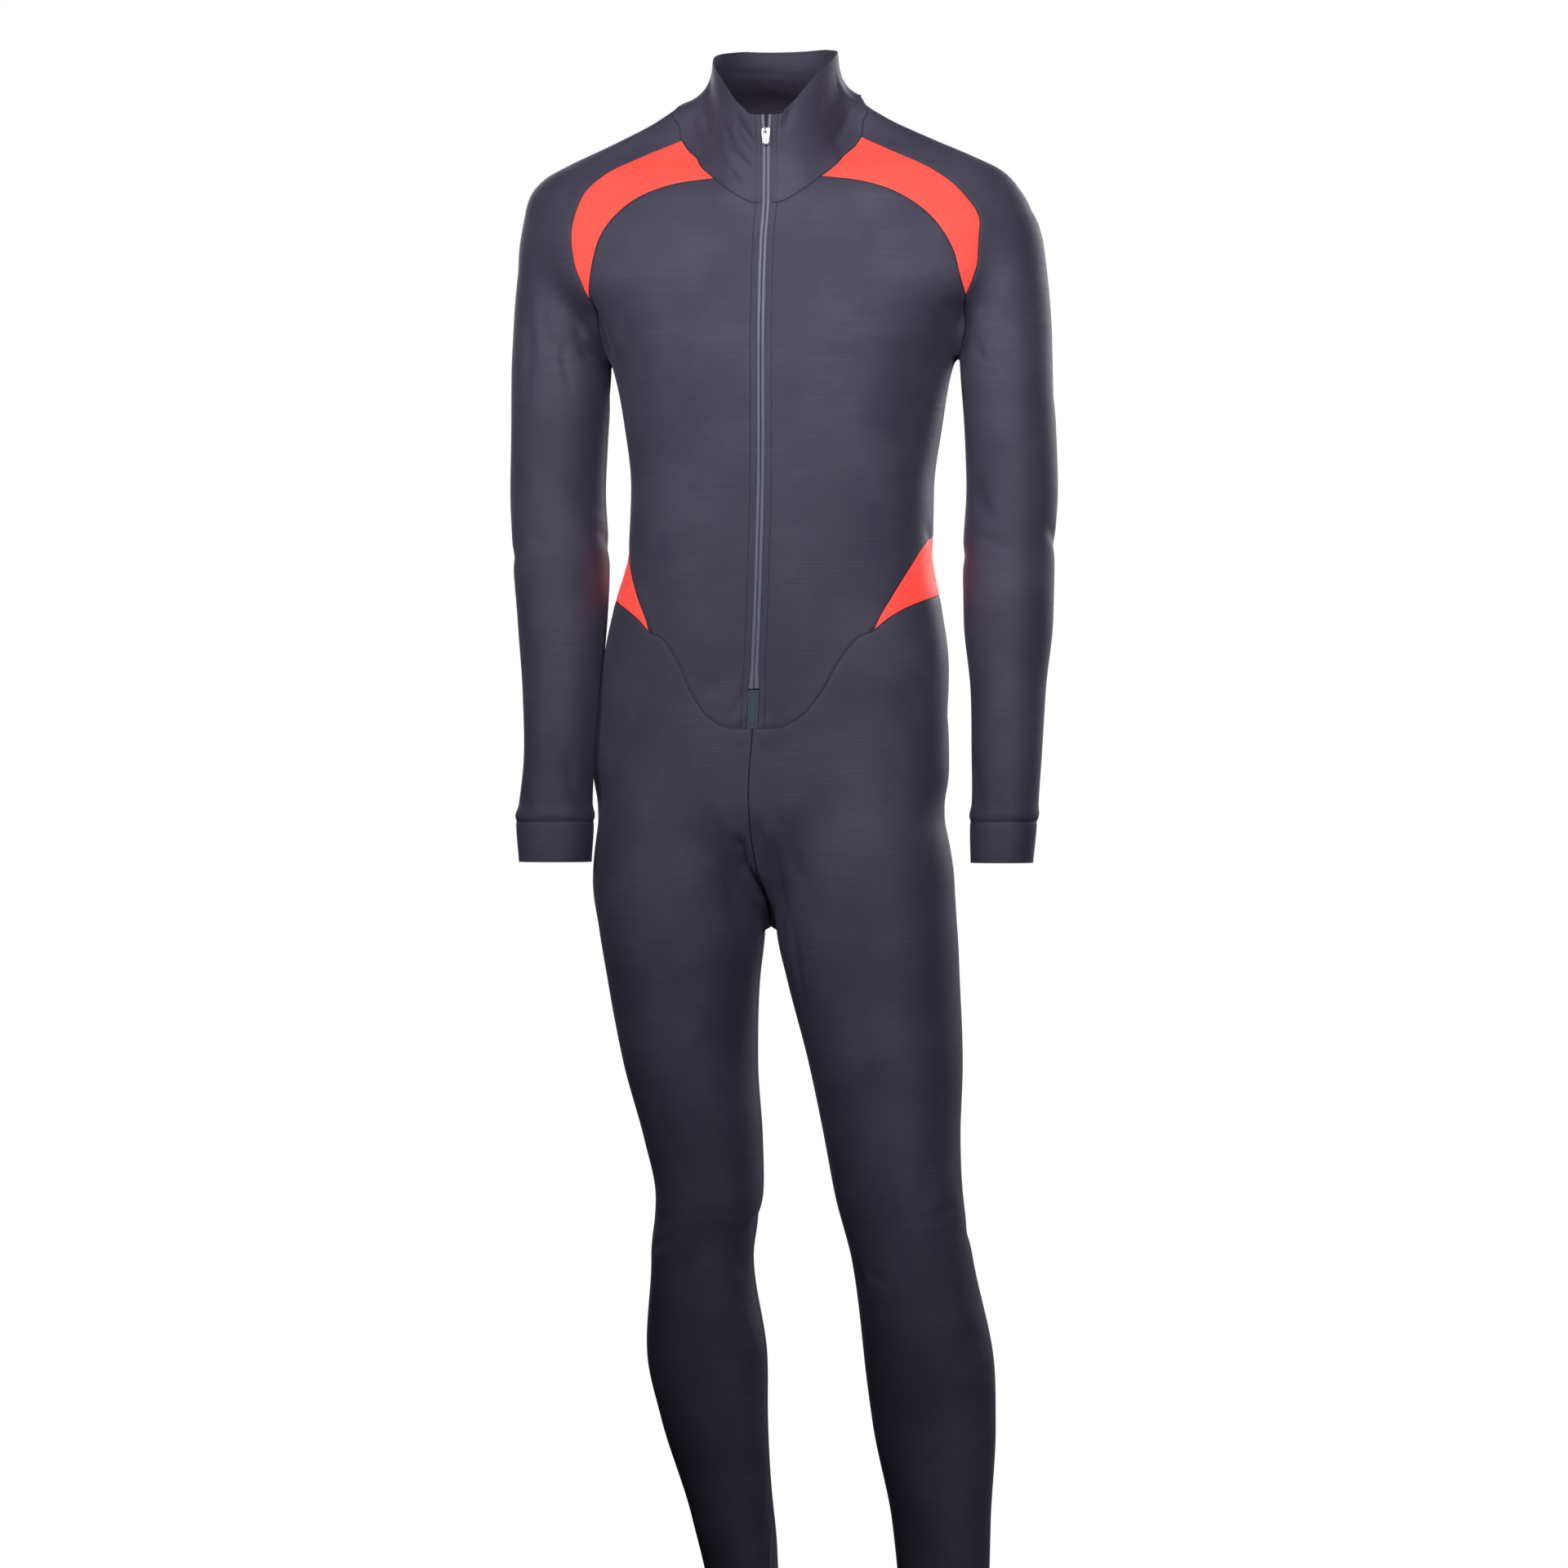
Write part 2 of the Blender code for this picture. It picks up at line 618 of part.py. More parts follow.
def slot_line(side):
    """The edge of the zip slot on the body, from the neck seam down."""
    turns = neck_line(side, 0.0, 12.0)
    reach = side * (turns[:, 0] - ZIP_TOP_X)
    neck = turns[np.argmin(np.abs(reach - slot_at(turns[:, 2])[:, 0]))]
    height = np.linspace(neck[2], ZIP_BOTTOM_HEIGHT, 2 * DENSE)
    x = midline(height) + side * slot_at(height)[..., 0]
    line = cast(vectors(x, 0, height), vectors(0, -1, 0 * height))
    line[0] = neck
    return line


def side_seams(side):
    """Every seam of one side, as lines of points that neighbouring pieces share."""
    seams = {}
    slot = slot_line(side)
    slot_turn = math.degrees(math.atan2(side * (slot[0][0] - NECK[0]), NECK[1] - slot[0][1]))
    seams["neck_front"] = even(neck_line(side, slot_turn, BAND_INNER_TURN), COLUMNS_V_BOTTOM)
    seams["neck_band"] = even(neck_line(side, BAND_INNER_TURN, BAND_OUTER_TURN), COLUMNS_BAND)
    seams["neck_sleeve"] = even(neck_line(side, BAND_OUTER_TURN, RAGLAN_BACK_TURN), COLUMNS_SLEEVE)
    seams["neck_back"] = even(neck_line(side, RAGLAN_BACK_TURN, 180.0), COLUMNS_BACK_HALF)
    inner_corner, outer_corner = seams["neck_band"][0], seams["neck_band"][-1]
    seams["band_inner"] = even(face_line(side, -1, BAND_INNER_EDGE, inner_corner), ROWS_RAGLAN)
    seams["band_outer"] = even(face_line(side, -1, BAND_OUTER_EDGE, outer_corner), ROWS_RAGLAN)
    back_corner = seams["neck_back"][0]
    seams["raglan_back"] = even(face_line(side, 1, RAGLAN_BACK_EDGE, back_corner), ROWS_RAGLAN)
    own = 1 if side < 0 else 2
    front_x, back_x = BAND_INNER_EDGE[0][own], RAGLAN_BACK_EDGE[0][own]
    armhole_front, armhole_back = armhole_line(side, front_x, back_x)
    armhole_front[0] = seams["band_inner"][0]
    armhole_back[-1] = seams["raglan_back"][0]
    seams["armhole_front"] = even(armhole_front, ROWS_ARMHOLE)
    seams["armhole_back"] = even(armhole_back, ROWS_ARMHOLE)
    underarm = seams["armhole_front"][-1]
    seams["armhole_back"][0] = underarm
    under_turn, under_height = torso_places(side, underarm)
    side_rows = [(math.degrees(under_turn), under_height), (95.0, 1.230), (SIDE_TURN, 1.1476)]
    seams["side"] = even(waist_line(side, side_rows), ROWS_SIDE_SEAM)
    seams["side"][0] = underarm
    seams["v_bottom"] = even(waist_line(side, V_BOTTOM_SEAM, slot[-1]), COLUMNS_V_BOTTOM)
    seams["v_bottom"][0] = slot[-1]
    seams["v_side"] = even(waist_line(side, V_SIDE_SEAM), ROWS_V_SIDE)
    seams["wedge_upper"] = even(waist_line(side, WEDGE_UPPER_EDGE), ROWS_WEDGE_HALF)
    seams["wedge_lower"] = even(waist_line(side, WEDGE_LOWER_EDGE), ROWS_WEDGE_HALF)
    mirrored = [(2 * SIDE_TURN - turn, height) for turn, height in WEDGE_UPPER_EDGE[::-1]]
    seams["wedge_upper_back"] = even(waist_line(side, mirrored), ROWS_WEDGE_HALF)
    mirrored = [(2 * SIDE_TURN - turn, height) for turn, height in WEDGE_LOWER_EDGE[::-1]]
    seams["wedge_lower_back"] = even(waist_line(side, mirrored), ROWS_WEDGE_HALF)
    seams["waist_back"] = even(waist_line(side, BACK_WAIST_SEAM), COLUMNS_BACK_HALF)
    above, below = slot[slot[:, 2] >= SLOT_WAIST_HEIGHT], slot[slot[:, 2] <= SLOT_WAIST_HEIGHT]
    below = np.vstack([above[-1:], below])
    seams["slot"] = joined(
        even(above, ROWS_RAGLAN + ROWS_ARMHOLE + ROWS_SIDE_SEAM),
        even(below, ROWS_WEDGE_HALF + ROWS_V_SIDE),
    )
    return seams


# Panels


def spanned(first, last, top, bottom):
    """Places between four edges that share their corners: rows run from top to bottom."""
    v = np.linspace(0, 1, len(first))[:, None, None]
    u = np.linspace(0, 1, len(top))[None, :, None]
    across = first[:, None] * (1 - u) + last[:, None] * u
    down = top[None] * (1 - v) + bottom[None] * v
    corners = (first[0] * (1 - u) + last[0] * u) * (1 - v) + (first[-1] * (1 - u) + last[-1] * u) * v
    return across + down - corners


def panel(limb, side, first, last, top, bottom, surface=body):
    """A grid of surface points between four seams. Turns run up from the first edge to the last."""
    rays, places_of, reach = limb
    edges = [places_of(side, edge) for edge in (first, last, top, bottom)]
    edges[1][:, 0] = np.where(edges[1][:, 0] < 0, edges[1][:, 0] + 2 * math.pi, edges[1][:, 0])
    for edge in edges[2:]:
        edge[:, 0] = np.unwrap(edge[:, 0])
    grid = cast(*rays(side, spanned(*edges)), reach, surface)
    grid[:, 0], grid[:, -1], grid[0], grid[-1] = first, last, top, bottom
    return grid


def fold_depth(points, directions):
    """How far the largest folds move the cloth out (plus) or in (minus)."""
    depth = np.zeros(points.shape[:-1])
    for x0, h0, x1, h1, facing, width, amount in FOLDS:
        along = np.array([x1 - x0, h1 - h0])
        place = points[..., [0, 2]] - np.array([x0, h0])
        t = np.clip(place @ along / (along @ along), 0, 1)
        away = np.linalg.norm(place - t[..., None] * along, axis=-1)
        faces = np.clip(facing * directions[..., 1] * 2, 0, 1)
        depth += amount * faces * np.exp(-((away / width) ** 2)) * (1 - (2 * t - 1) ** 4 * 0.6)
    return depth


def drawn_in(grid, out, edges, gap=SEAM_GAP / 2):
    """The grid with the named edges moved in along the cloth, by half the seam gap."""
    moved = grid.copy()
    views = {
        "first": (grid[:, 0], grid[:, 1], moved[:, 0], out[:, 0]),
        "last": (grid[:, -1], grid[:, -2], moved[:, -1], out[:, -1]),
        "top": (grid[0], grid[1], moved[0], out[0]),
        "bottom": (grid[-1], grid[-2], moved[-1], out[-1]),
    }
    for name in edges:
        edge, inner, target, normal = views[name]
        along = np.gradient(edge, axis=0)
        along /= np.maximum(np.linalg.norm(along, axis=-1, keepdims=True), 1e-12)
        inward = np.cross(normal, along)
        inward *= np.sign((inward * (inner - edge)).sum())
        target += inward * gap
    return moved


def grid_normals(grid, outward_from):
    """Normals of a free grid, pointing away from a line of middles."""
    across = np.gradient(grid, axis=1)
    down = np.gradient(grid, axis=0)
    n = np.cross(across, down)
    n /= np.linalg.norm(n, axis=-1, keepdims=True)
    turn = np.sign((n * (grid - outward_from)).sum(-1, keepdims=True))
    return n * turn


def closed_wall(name, outer, inner, material, tube_from=None):
    """A closed solid between two grids. From row tube_from on, the first and last columns meet."""
    rows, columns = outer.shape[:2]
    bm = bmesh.new()
    layers = []
    for grid in (outer, inner):
        verts = [[bm.verts.new(point) for point in row] for row in grid]
        if tube_from is not None:
            for row in range(tube_from, rows):
                bm.verts.remove(verts[row][-1])
                verts[row][-1] = verts[row][0]
        layers.append(verts)
    out, back = layers
    for j in range(rows - 1):
        for i in range(columns - 1):
            bm.faces.new((out[j][i], out[j][i + 1], out[j + 1][i + 1], out[j + 1][i]))
            bm.faces.new((back[j][i], back[j + 1][i], back[j + 1][i + 1], back[j][i + 1]))
    for j, flip in ((0, False), (rows - 1, True)):
        for i in range(columns - 1):
            rim = [out[j][i], back[j][i], back[j][i + 1], out[j][i + 1]]
            bm.faces.new(rim[::-1] if flip else rim)
    last_open = rows - 1 if tube_from is None else tube_from
    for i, flip in ((0, True), (columns - 1, False)):
        for j in range(last_open):
            rim = [out[j][i], back[j][i], back[j + 1][i], out[j + 1][i]]
            bm.faces.new(rim[::-1] if flip else rim)
    bmesh.ops.recalc_face_normals(bm, faces=bm.faces)
    return add_object(name, bm, material)


def add_object(name, bm, material):
    for vert in bm.verts:
        vert.co.z -= HOLD_HEIGHT
    mesh = bpy.data.meshes.new(name)
    bm.to_mesh(mesh)
    bm.free()
    mesh.materials.append(material)
    mesh.shade_smooth()
    mesh.set_sharp_from_angle(angle=math.radians(40))
    made = bpy.data.objects.new(name, mesh)
    SUIT.objects.link(made)
    return made


def cloth_panel(name, grid, edges, material, tube_from=None, surface=body, gap=SEAM_GAP / 2):
    """A panel of cloth: its outer face lies on the worn form, with the largest folds."""
    out = normals(grid, surface)
    folded = grid + out * fold_depth(grid, out)[..., None]
    outer = drawn_in(folded, out, edges, gap)
    return closed_wall(name, outer, outer - out * CLOTH, material, tube_from)


# Pieces


def shortened(grid, axis, share=0.08):
    """A grid whose pointed ends along one axis stop just short of their tips."""
    cut = np.moveaxis(grid.copy(), axis, 0)
    source = np.moveaxis(grid, axis, 0)
    for end, inner in ((0, 1), (-1, -2)):
        if np.ptp(source[end], axis=0).max() < 1e-6:
            cut[end] = source[end] * (1 - share) + source[inner] * share
    return np.moveaxis(cut, 0, axis)


def front_grid(side, seams):
    outer = joined(
        seams["band_inner"][::-1],
        seams["armhole_front"],
        seams["side"],
        seams["wedge_upper"][::-1],
        seams["v_side"][::-1],
    )
    return panel(TORSO_LIMB, side, seams["slot"], outer, seams["neck_front"], seams["v_bottom"])


def back_grid(left, right):
    edges = [
        joined(s["raglan_back"][::-1], s["armhole_back"][::-1], s["side"], s["wedge_upper_back"])
        for s in (left, right)
    ]
    top = joined(left["neck_back"], right["neck_back"][::-1])
    bottom = joined(left["waist_back"], right["waist_back"][::-1])
    return panel(TORSO_LIMB, 1, *edges, top, bottom)


def band_grid(side, seams):
    tip = np.repeat(seams["band_inner"][:1], COLUMNS_BAND + 1, axis=0)
    grid = panel(TORSO_LIMB, side, seams["band_inner"], seams["band_outer"], tip, seams["neck_band"])
    return shortened(grid, 0)


def wedge_grid(side, seams):
    upper = joined(seams["wedge_upper"], seams["wedge_upper_back"])
    lower = joined(seams["wedge_lower"], seams["wedge_lower_back"])
    first = np.repeat(upper[:1], ROWS_WEDGE_DEPTH + 1, axis=0)
    last = np.repeat(upper[-1:], ROWS_WEDGE_DEPTH + 1, axis=0)
    lower[0], lower[-1] = upper[0], upper[-1]
    return shortened(panel(TORSO_LIMB, side, first, last, upper, lower), 1)


def rings(limb, side, start, heights, columns, level):
    """Closed level rings of a sleeve or leg, from its inner seam right round to it."""
    turn = start + np.linspace(0, 2 * math.pi, columns + 1)
    places = vectors(turn[None, :], np.asarray(heights)[:, None] - level)
    surface = sleeved(side) if limb is SLEEVE_LIMB else halved(side)
    grid = cast(*limb[0](side, places), limb[2], surface)
    grid[:, -1] = grid[:, 0]
    return grid


def sleeve_grid(side, seams):
    """The sleeve from the neck seam to the cuff seam, and the row where its underarm seam begins."""
    front = joined(seams["band_outer"][::-1], seams["armhole_front"])
    back = joined(seams["raglan_back"][::-1], seams["armhole_back"][::-1])
    underarm = front[-1]
    start = sleeve_places(side, underarm)[0]
    heights = np.linspace(underarm[2], CUFF_SEAM_HEIGHT, ROWS_SLEEVE + 1)
    below = rings(SLEEVE_LIMB, side, start, heights, COLUMNS_SLEEVE, FAN_HEIGHT)
    below[0, 0] = below[0, -1] = underarm
    neck = seams["neck_sleeve"]
    head = panel(SLEEVE_LIMB, side, front, back, neck, below[0], sleeved(side))
    return np.vstack([head, below[1:]]), len(head) - 1


def cuff_grid(side):
    heights = np.linspace(CUFF_SEAM_HEIGHT, CUFF_END_HEIGHT, ROWS_CUFF + 1)
    return rings(SLEEVE_LIMB, side, -math.pi / 2, heights, COLUMNS_SLEEVE, FAN_HEIGHT)


def leg_grid(side, seams):
    """The leg from the waist seams to the hem, and the row where its inseam begins."""
    fork = fork_line()
    waist = joined(
        even(np.array([centre_line(-1, ZIP_BOTTOM_HEIGHT, FORK_HEIGHT)[0], seams["v_bottom"][0]]), 1),
        seams["v_bottom"],
        seams["v_side"],
        seams["wedge_lower"],
        seams["wedge_lower_back"],
        seams["waist_back"],
    )
    front = joined(centre_line(-1, ZIP_BOTTOM_HEIGHT, FORK_HEIGHT), fork[:DENSE])
    back = joined(centre_line(1, waist[-1][2], FORK_HEIGHT), fork[DENSE:][::-1])
    front, back = even(front, ROWS_FORK), even(back, ROWS_FORK)
    back[0] = waist[-1]
    back[-1] = front[-1]
    start = leg_places(side, front[-1])[0]
    heights = np.linspace(front[-1][2], HEM_HEIGHT, ROWS_LEG + 1)
    below = rings(LEG_LIMB, side, start, heights, len(waist) - 1, 0.0)
    below[0, 0] = below[0, -1] = front[-1]
    top = panel(LEG_LIMB, side, front, back, waist, below[0])
    return np.vstack([top, below[1:]]), len(top) - 1


def collar_grid(left, right):
    """The stand-up collar, from one edge of the zip slot round the neck to the other."""
    names = ("neck_front", "neck_band", "neck_sleeve", "neck_back")
    halves = [joined(*[seams[name] for name in names]) for seams in (left, right)]
    base = joined(halves[0], halves[1][::-1])
    turn = np.degrees(np.arctan2(base[:, 0] - NECK[0], -(base[:, 1] - NECK[1])))
    shape = collar_at(np.abs(turn))
    top_turn = np.radians(np.sign(turn) * shape[:, 0])
    top = vectors(
        COLLAR_TOP_X + COLLAR_TOP_WIDTH * np.sin(top_turn),
        COLLAR_TOP_MIDDLE - COLLAR_TOP_DEPTH * np.cos(top_turn),
        shape[:, 1],
    )
    size = np.linalg.norm(top - base, axis=1, keepdims=True)
    inward = vectors(-np.sin(np.radians(turn)), np.cos(np.radians(turn)), 0)
    lean = inward * shape[:, 2:3] + np.array([0, 0, 1.0])
    start = lean / np.linalg.norm(lean, axis=1, keepdims=True) * size
    end = np.array([0, 0, COLLAR_STAND]) * size
    v = np.linspace(0, 1, ROWS_COLLAR + 1)[:, None, None]
    grid = base * (1 + 2 * v) * (1 - v) ** 2 + start * v * (1 - v) ** 2
    grid = grid + top * v**2 * (3 - 2 * v) + end * v**2 * (v - 1)
    for column, side in ((0, 1), (-1, -1)):
        edge = grid[:, column].copy()
        pull = ZIP_TOP_X + side * slot_at(edge[:, 2])[:, 0] - edge[:, 0]
        near = np.exp(-(((turn - turn[column]) / COLLAR_PULL_TURN) ** 2)) * (side * turn > 0)
        grid[1:, :, 0] += pull[1:, None] * near
    return grid


def collar_middles(grid):
    """The neck's middle line beside each point of the collar."""
    share = np.linspace(0, 1, len(grid))[:, None]
    middle_y = NECK[1] + (COLLAR_TOP_MIDDLE - NECK[1]) * share
    return vectors(NECK[0], middle_y, grid[..., 2])


def split_at(line, directions, height):
    """A rising line above and below a height, just clear of it, each with its directions."""
    low, high = height - COIL_END_GAP / 2, height + COIL_END_GAP / 2
    both = np.column_stack([line, directions])
    ends = [[np.interp(end, line[:, 2], column) for column in both.T] for end in (low, high)]
    under, over = line[:, 2] < low, line[:, 2] > high
    parts = np.vstack([ends[1], both[over]]), np.vstack([both[under], ends[0]])
    return [(part[:, :3], part[:, 3:]) for part in parts]


def edge_frames(line, directions, side):
    """Directions towards the zip's middle and out of the cloth, along an edge of the slot."""
    smooth = directions.copy()
    for _ in range(3):
        smooth[1:-1] = (smooth[:-2] + smooth[1:-1] + smooth[2:]) / 3
    smooth /= np.linalg.norm(smooth, axis=1, keepdims=True)
    along = np.gradient(line, axis=0)
    inward = np.cross(along, smooth)
    inward *= -side * np.sign(inward[:, :1])
    inward /= np.linalg.norm(inward, axis=1, keepdims=True)
    return inward, smooth


def swept(name, sections, material):
    """A closed solid through like sections, a row of points each."""
    bm = bmesh.new()
    verts = [[bm.verts.new(point) for point in section] for section in sections]
    count = len(verts[0])
    for first, second in zip(verts, verts[1:]):
        for i in range(count):
            k = (i + 1) % count
            bm.faces.new((first[i], first[k], second[k], second[i]))
    bm.faces.new(verts[0][::-1])
    bm.faces.new(verts[-1])
    bmesh.ops.recalc_face_normals(bm, faces=bm.faces)
    return add_object(name, bm, material)


def zip_half(name, line, directions, side, material):
    """One row of the coil between the slot's edges, and its tape behind the cloth."""
    inward, out = edge_frames(line, directions, side)
    inner = SEAM_GAP + COIL_WIDTH
    profile = (
        (inner, -COIL_PROUD),
        (SEAM_GAP, -COIL_PROUD),
        (SEAM_GAP, TAPE_DEPTH),
        (-TAPE_REACH, TAPE_DEPTH),
        (-TAPE_REACH, TAPE_DEPTH + TAPE_THICKNESS),
        (inner - SEAM_GAP, TAPE_DEPTH + TAPE_THICKNESS),
    )
    sections = [[p + a * c - d * n for a, d in profile] for p, c, n in zip(line, inward, out)]
    return swept(name, sections, material)


def most_forward(objects):
    """The y of the foremost point of the zip's rows beside the slider."""
    top = SLIDER_TOP_HEIGHT - HOLD_HEIGHT
    near = [
        vert.co.y
        for one in objects
        for vert in one.data.vertices
        if top - 2 * SLIDER_LENGTH < vert.co.z < top + SLIDER_LENGTH
    ]
    return min(near)


def zip_end_patch(name, left, right, out_left, out_right, material):
    """The patch sewn over the zip's lower end, with wings behind both fronts."""
    in_left, out_left = edge_frames(left, out_left, 1)
    in_right, out_right = edge_frames(right, out_right, -1)
    wing = TAPE_REACH - 0.001
    low, high = TAPE_DEPTH, TAPE_DEPTH + TAPE_THICKNESS
    half = ((SEAM_GAP, -COIL_PROUD), (SEAM_GAP, low), (-wing, low), (-wing, high))
    sections = []
    for p, c, n, q, e, m in zip(left, in_left, out_left, right, in_right, out_right):
        near = [p + a * c - d * n for a, d in half]
        far = [q + a * e - d * m for a, d in half]
        sections.append(near + far[::-1])
    return swept(name, sections, material)


def prism(bm, outline, low, high, axis):
    """Adds a closed prism: a flat outline pushed along one axis."""
    ends = []
    for place in (low, high):
        points = [list(pair) for pair in outline]
        for point in points:
            point.insert(axis, place)
        ends.append([bm.verts.new(point) for point in points])
    count = len(outline)
    for i in range(count):
        k = (i + 1) % count
        bm.faces.new((ends[0][i], ends[0][k], ends[1][k], ends[1][i]))
    bm.faces.new(ends[0][::-1])
    bm.faces.new(ends[1])
    bmesh.ops.recalc_face_normals(bm, faces=bm.faces)


def tapered_outline(top_width, nose_width, top, length, corner=0.0012):
    """A flat outline with cut corners, wider at its top: x and height."""
    t, n = top_width / 2, nose_width / 2
    low = top - length
    half = ((t - corner, top), (t, top - corner), (n, low + corner), (n - corner, low))
    mirrored = tuple((-x, height) for x, height in half[::-1])
    return tuple((x + ZIP_TOP_X, height) for x, height in half + mirrored)


def box_outline(width, low, high):
    """A flat box about the zip's middle line: x and height."""
    left, right = ZIP_TOP_X - width / 2, ZIP_TOP_X + width / 2
    return ((left, low), (right, low), (right, high), (left, high))


def ring_outline(inner, outer, gap, axis_height, face, corners=7):
    """A half ring about the tab's hinge, with both ends let into the slider's face: y and height."""
    turns = np.linspace(math.pi / 2, -math.pi / 2, corners)
    centre_y = face - gap
    arcs = [
        [(centre_y - r * math.cos(t), axis_height + r * math.sin(t)) for t in turns]
        for r in (outer, inner)
    ]
    sunk = face + SLIDER_PLATE / 2
    outside = [(sunk, axis_height + outer)] + arcs[0] + [(sunk, axis_height - outer)]
    inside = [(sunk, axis_height + inner)] + arcs[1] + [(sunk, axis_height - inner)]
    return outside + inside[::-1]


def zip_slider(face, material):
    """The slider: a plate before the coil and one behind it, a post between, and the tab's ring."""
    back = face + SLIDER_PLATE + SLIDER_THROAT
    plate = tapered_outline(SLIDER_WIDTH, SLIDER_NOSE_WIDTH, SLIDER_TOP_HEIGHT, SLIDER_LENGTH)
    post_top = SLIDER_TOP_HEIGHT - POST_INSET
    post = box_outline(POST_WIDTH, SLIDER_TOP_HEIGHT - POST_HEIGHT, post_top)
    ring = ring_outline(RING_INNER, RING_OUTER, HINGE_GAP, HINGE_HEIGHT, face)
    shapes = (
        (plate, face, face + SLIDER_PLATE, 1),
        (plate, back, back + SLIDER_PLATE, 1),
        (post, face + SLIDER_PLATE / 2, back + SLIDER_PLATE / 2, 1),
        (ring, ZIP_TOP_X - RING_WIDTH / 2, ZIP_TOP_X + RING_WIDTH / 2, 0),
    )
    made = None
    for number, (outline, low, high, axis) in enumerate(shapes):
        bm = bmesh.new()
        prism(bm, outline, low, high, axis)
        if made is None:
            made = add_object("zip_slider", bm, material)
            continue
        piece = add_object(f"slider_shape_{number}", bm, material)
        SUIT.objects.unlink(piece)
        CUTTERS.objects.link(piece)
        piece.hide_render = True
        piece.display_type = "WIRE"
        union = made.modifiers.new(piece.name, "BOOLEAN")
        union.operation = "UNION"
        union.object = piece
    return made


def pull_tab(face, material):
    """The tab: a tapered plate with a window, whose top bar runs through the slider's ring."""
    centre_y = face - HINGE_GAP
    outline = tapered_outline(TAB_WIDTH, TAB_NOSE_WIDTH, HINGE_HEIGHT + TAB_BAR / 2, TAB_LENGTH)
    bm = bmesh.new()
    prism(bm, outline, centre_y - TAB_THICKNESS / 2, centre_y + TAB_THICKNESS / 2, 1)
    tab = add_object("pull_tab", bm, material)
    top = HINGE_HEIGHT - TAB_BAR / 2
    hole = box_outline(WINDOW_WIDTH, top - WINDOW_HEIGHT, top)
    bm = bmesh.new()
    prism(bm, hole, centre_y - TAB_THICKNESS, centre_y + TAB_THICKNESS, 1)
    cutter = add_object("pull_tab_window", bm, material)
    SUIT.objects.unlink(cutter)
    CUTTERS.objects.link(cutter)
    cutter.hide_render = True
    cutter.display_type = "WIRE"
    cut = tab.modifiers.new("Window", "BOOLEAN")
    cut.operation = "DIFFERENCE"
    cut.object = cutter
    return tab


def on_hinge(tab, face):
    """Gives the tab an empty on its hinge line as its parent."""
    hinge = bpy.data.objects.new("pull_tab_hinge", None)
    hinge.empty_display_size = 0.01
    hinge.location = (ZIP_TOP_X, face - HINGE_GAP, HINGE_HEIGHT - HOLD_HEIGHT)
    SUIT.objects.link(hinge)
    tab.parent = hinge
    tab.matrix_parent_inverse = hinge.matrix_basis.inverted()


def plain_material(name, colour, roughness, metallic=0.0):
    material = bpy.data.materials.new(name)
    material.use_nodes = True
    shader = material.node_tree.nodes["Principled BSDF"]
    shader.inputs["Base Color"].default_value = (*colour, 1.0)
    shader.inputs["Roughness"].default_value = roughness
    shader.inputs["Metallic"].default_value = metallic
    material.diffuse_color = (*colour, 1.0)
    return material


def build():
    anthracite = plain_material("anthracite_knit", (0.075, 0.068, 0.108), 0.7)
    coral = plain_material("coral_knit", (0.95, 0.085, 0.065), 0.7)
    coil = plain_material("zip_coil", (0.11, 0.12, 0.17), 0.5)
    metal = plain_material("slider_metal", (0.42, 0.42, 0.45), 0.35, 0.8)

    seams = {side: side_seams(side) for side in (1, -1)}
    words = {1: "left", -1: "right"}
    fronts = {}
    for side in (1, -1):
        word, own = words[side], seams[side]
        fronts[side] = front_grid(side, own)
        cloth_panel(f"front_{word}", fronts[side], EDGES, anthracite)
        cloth_panel(f"shoulder_band_{word}", band_grid(side, own), ("first", "last", "bottom"), coral)
        cloth_panel(f"waist_wedge_{word}", wedge_grid(side, own), ("top", "bottom"), coral)
        grid, tube = sleeve_grid(side, own)
        cloth_panel(f"sleeve_{word}", grid, EDGES, anthracite, tube, sleeved(side), 2 * SEAM_GAP)
        cloth_panel(f"cuff_{word}", cuff_grid(side), ("top",), anthracite, 0, sleeved(side))
        grid, tube = leg_grid(side, own)
        cloth_panel(f"leg_{word}", grid, ("first", "last", "top"), anthracite, tube)
    cloth_panel("back_panel", back_grid(seams[1], seams[-1]), EDGES, anthracite)

    collar = collar_grid(seams[1], seams[-1])
    out = grid_normals(collar, collar_middles(collar))
    out[0] = normals(collar[0])
    out[1] = out[0] + out[2]
    out[1] /= np.linalg.norm(out[1], axis=-1, keepdims=True)
    outer = drawn_in(collar, out, ("first", "last"))
    outer = drawn_in(outer, out, ("top",), 2 * SEAM_GAP)
    closed_wall("collar", outer, outer - out * CLOTH, anthracite)

    patches, rows = [], []
    for side, column in ((1, 0), (-1, -1)):
        body_edge = fronts[side][:, 0]
        edge = joined(body_edge[::-1], collar[:, column])
        directions = joined(normals(body_edge)[::-1], out[:, column])
        above, below = split_at(edge, directions, COIL_END_HEIGHT)
        rows.append(zip_half(f"zip_{words[side]}", *above, side, coil))
        patches.append(below)
    (left, out_left), (right, out_right) = patches
    zip_end_patch("zip_end", left, right, out_left, out_right, coil)
    face = most_forward(rows) - SEAM_GAP - SLIDER_PLATE
    zip_slider(face, metal)
    on_hinge(pull_tab(face, metal), face)


for old in list(bpy.data.objects):
    bpy.data.objects.remove(old)
SUIT = bpy.data.collections.new("speed_skating_suit")
CUTTERS = bpy.data.collections.new("cutters")
for made_collection in (SUIT, CUTTERS):
    bpy.context.scene.collection.children.link(made_collection)
build()
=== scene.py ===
import math

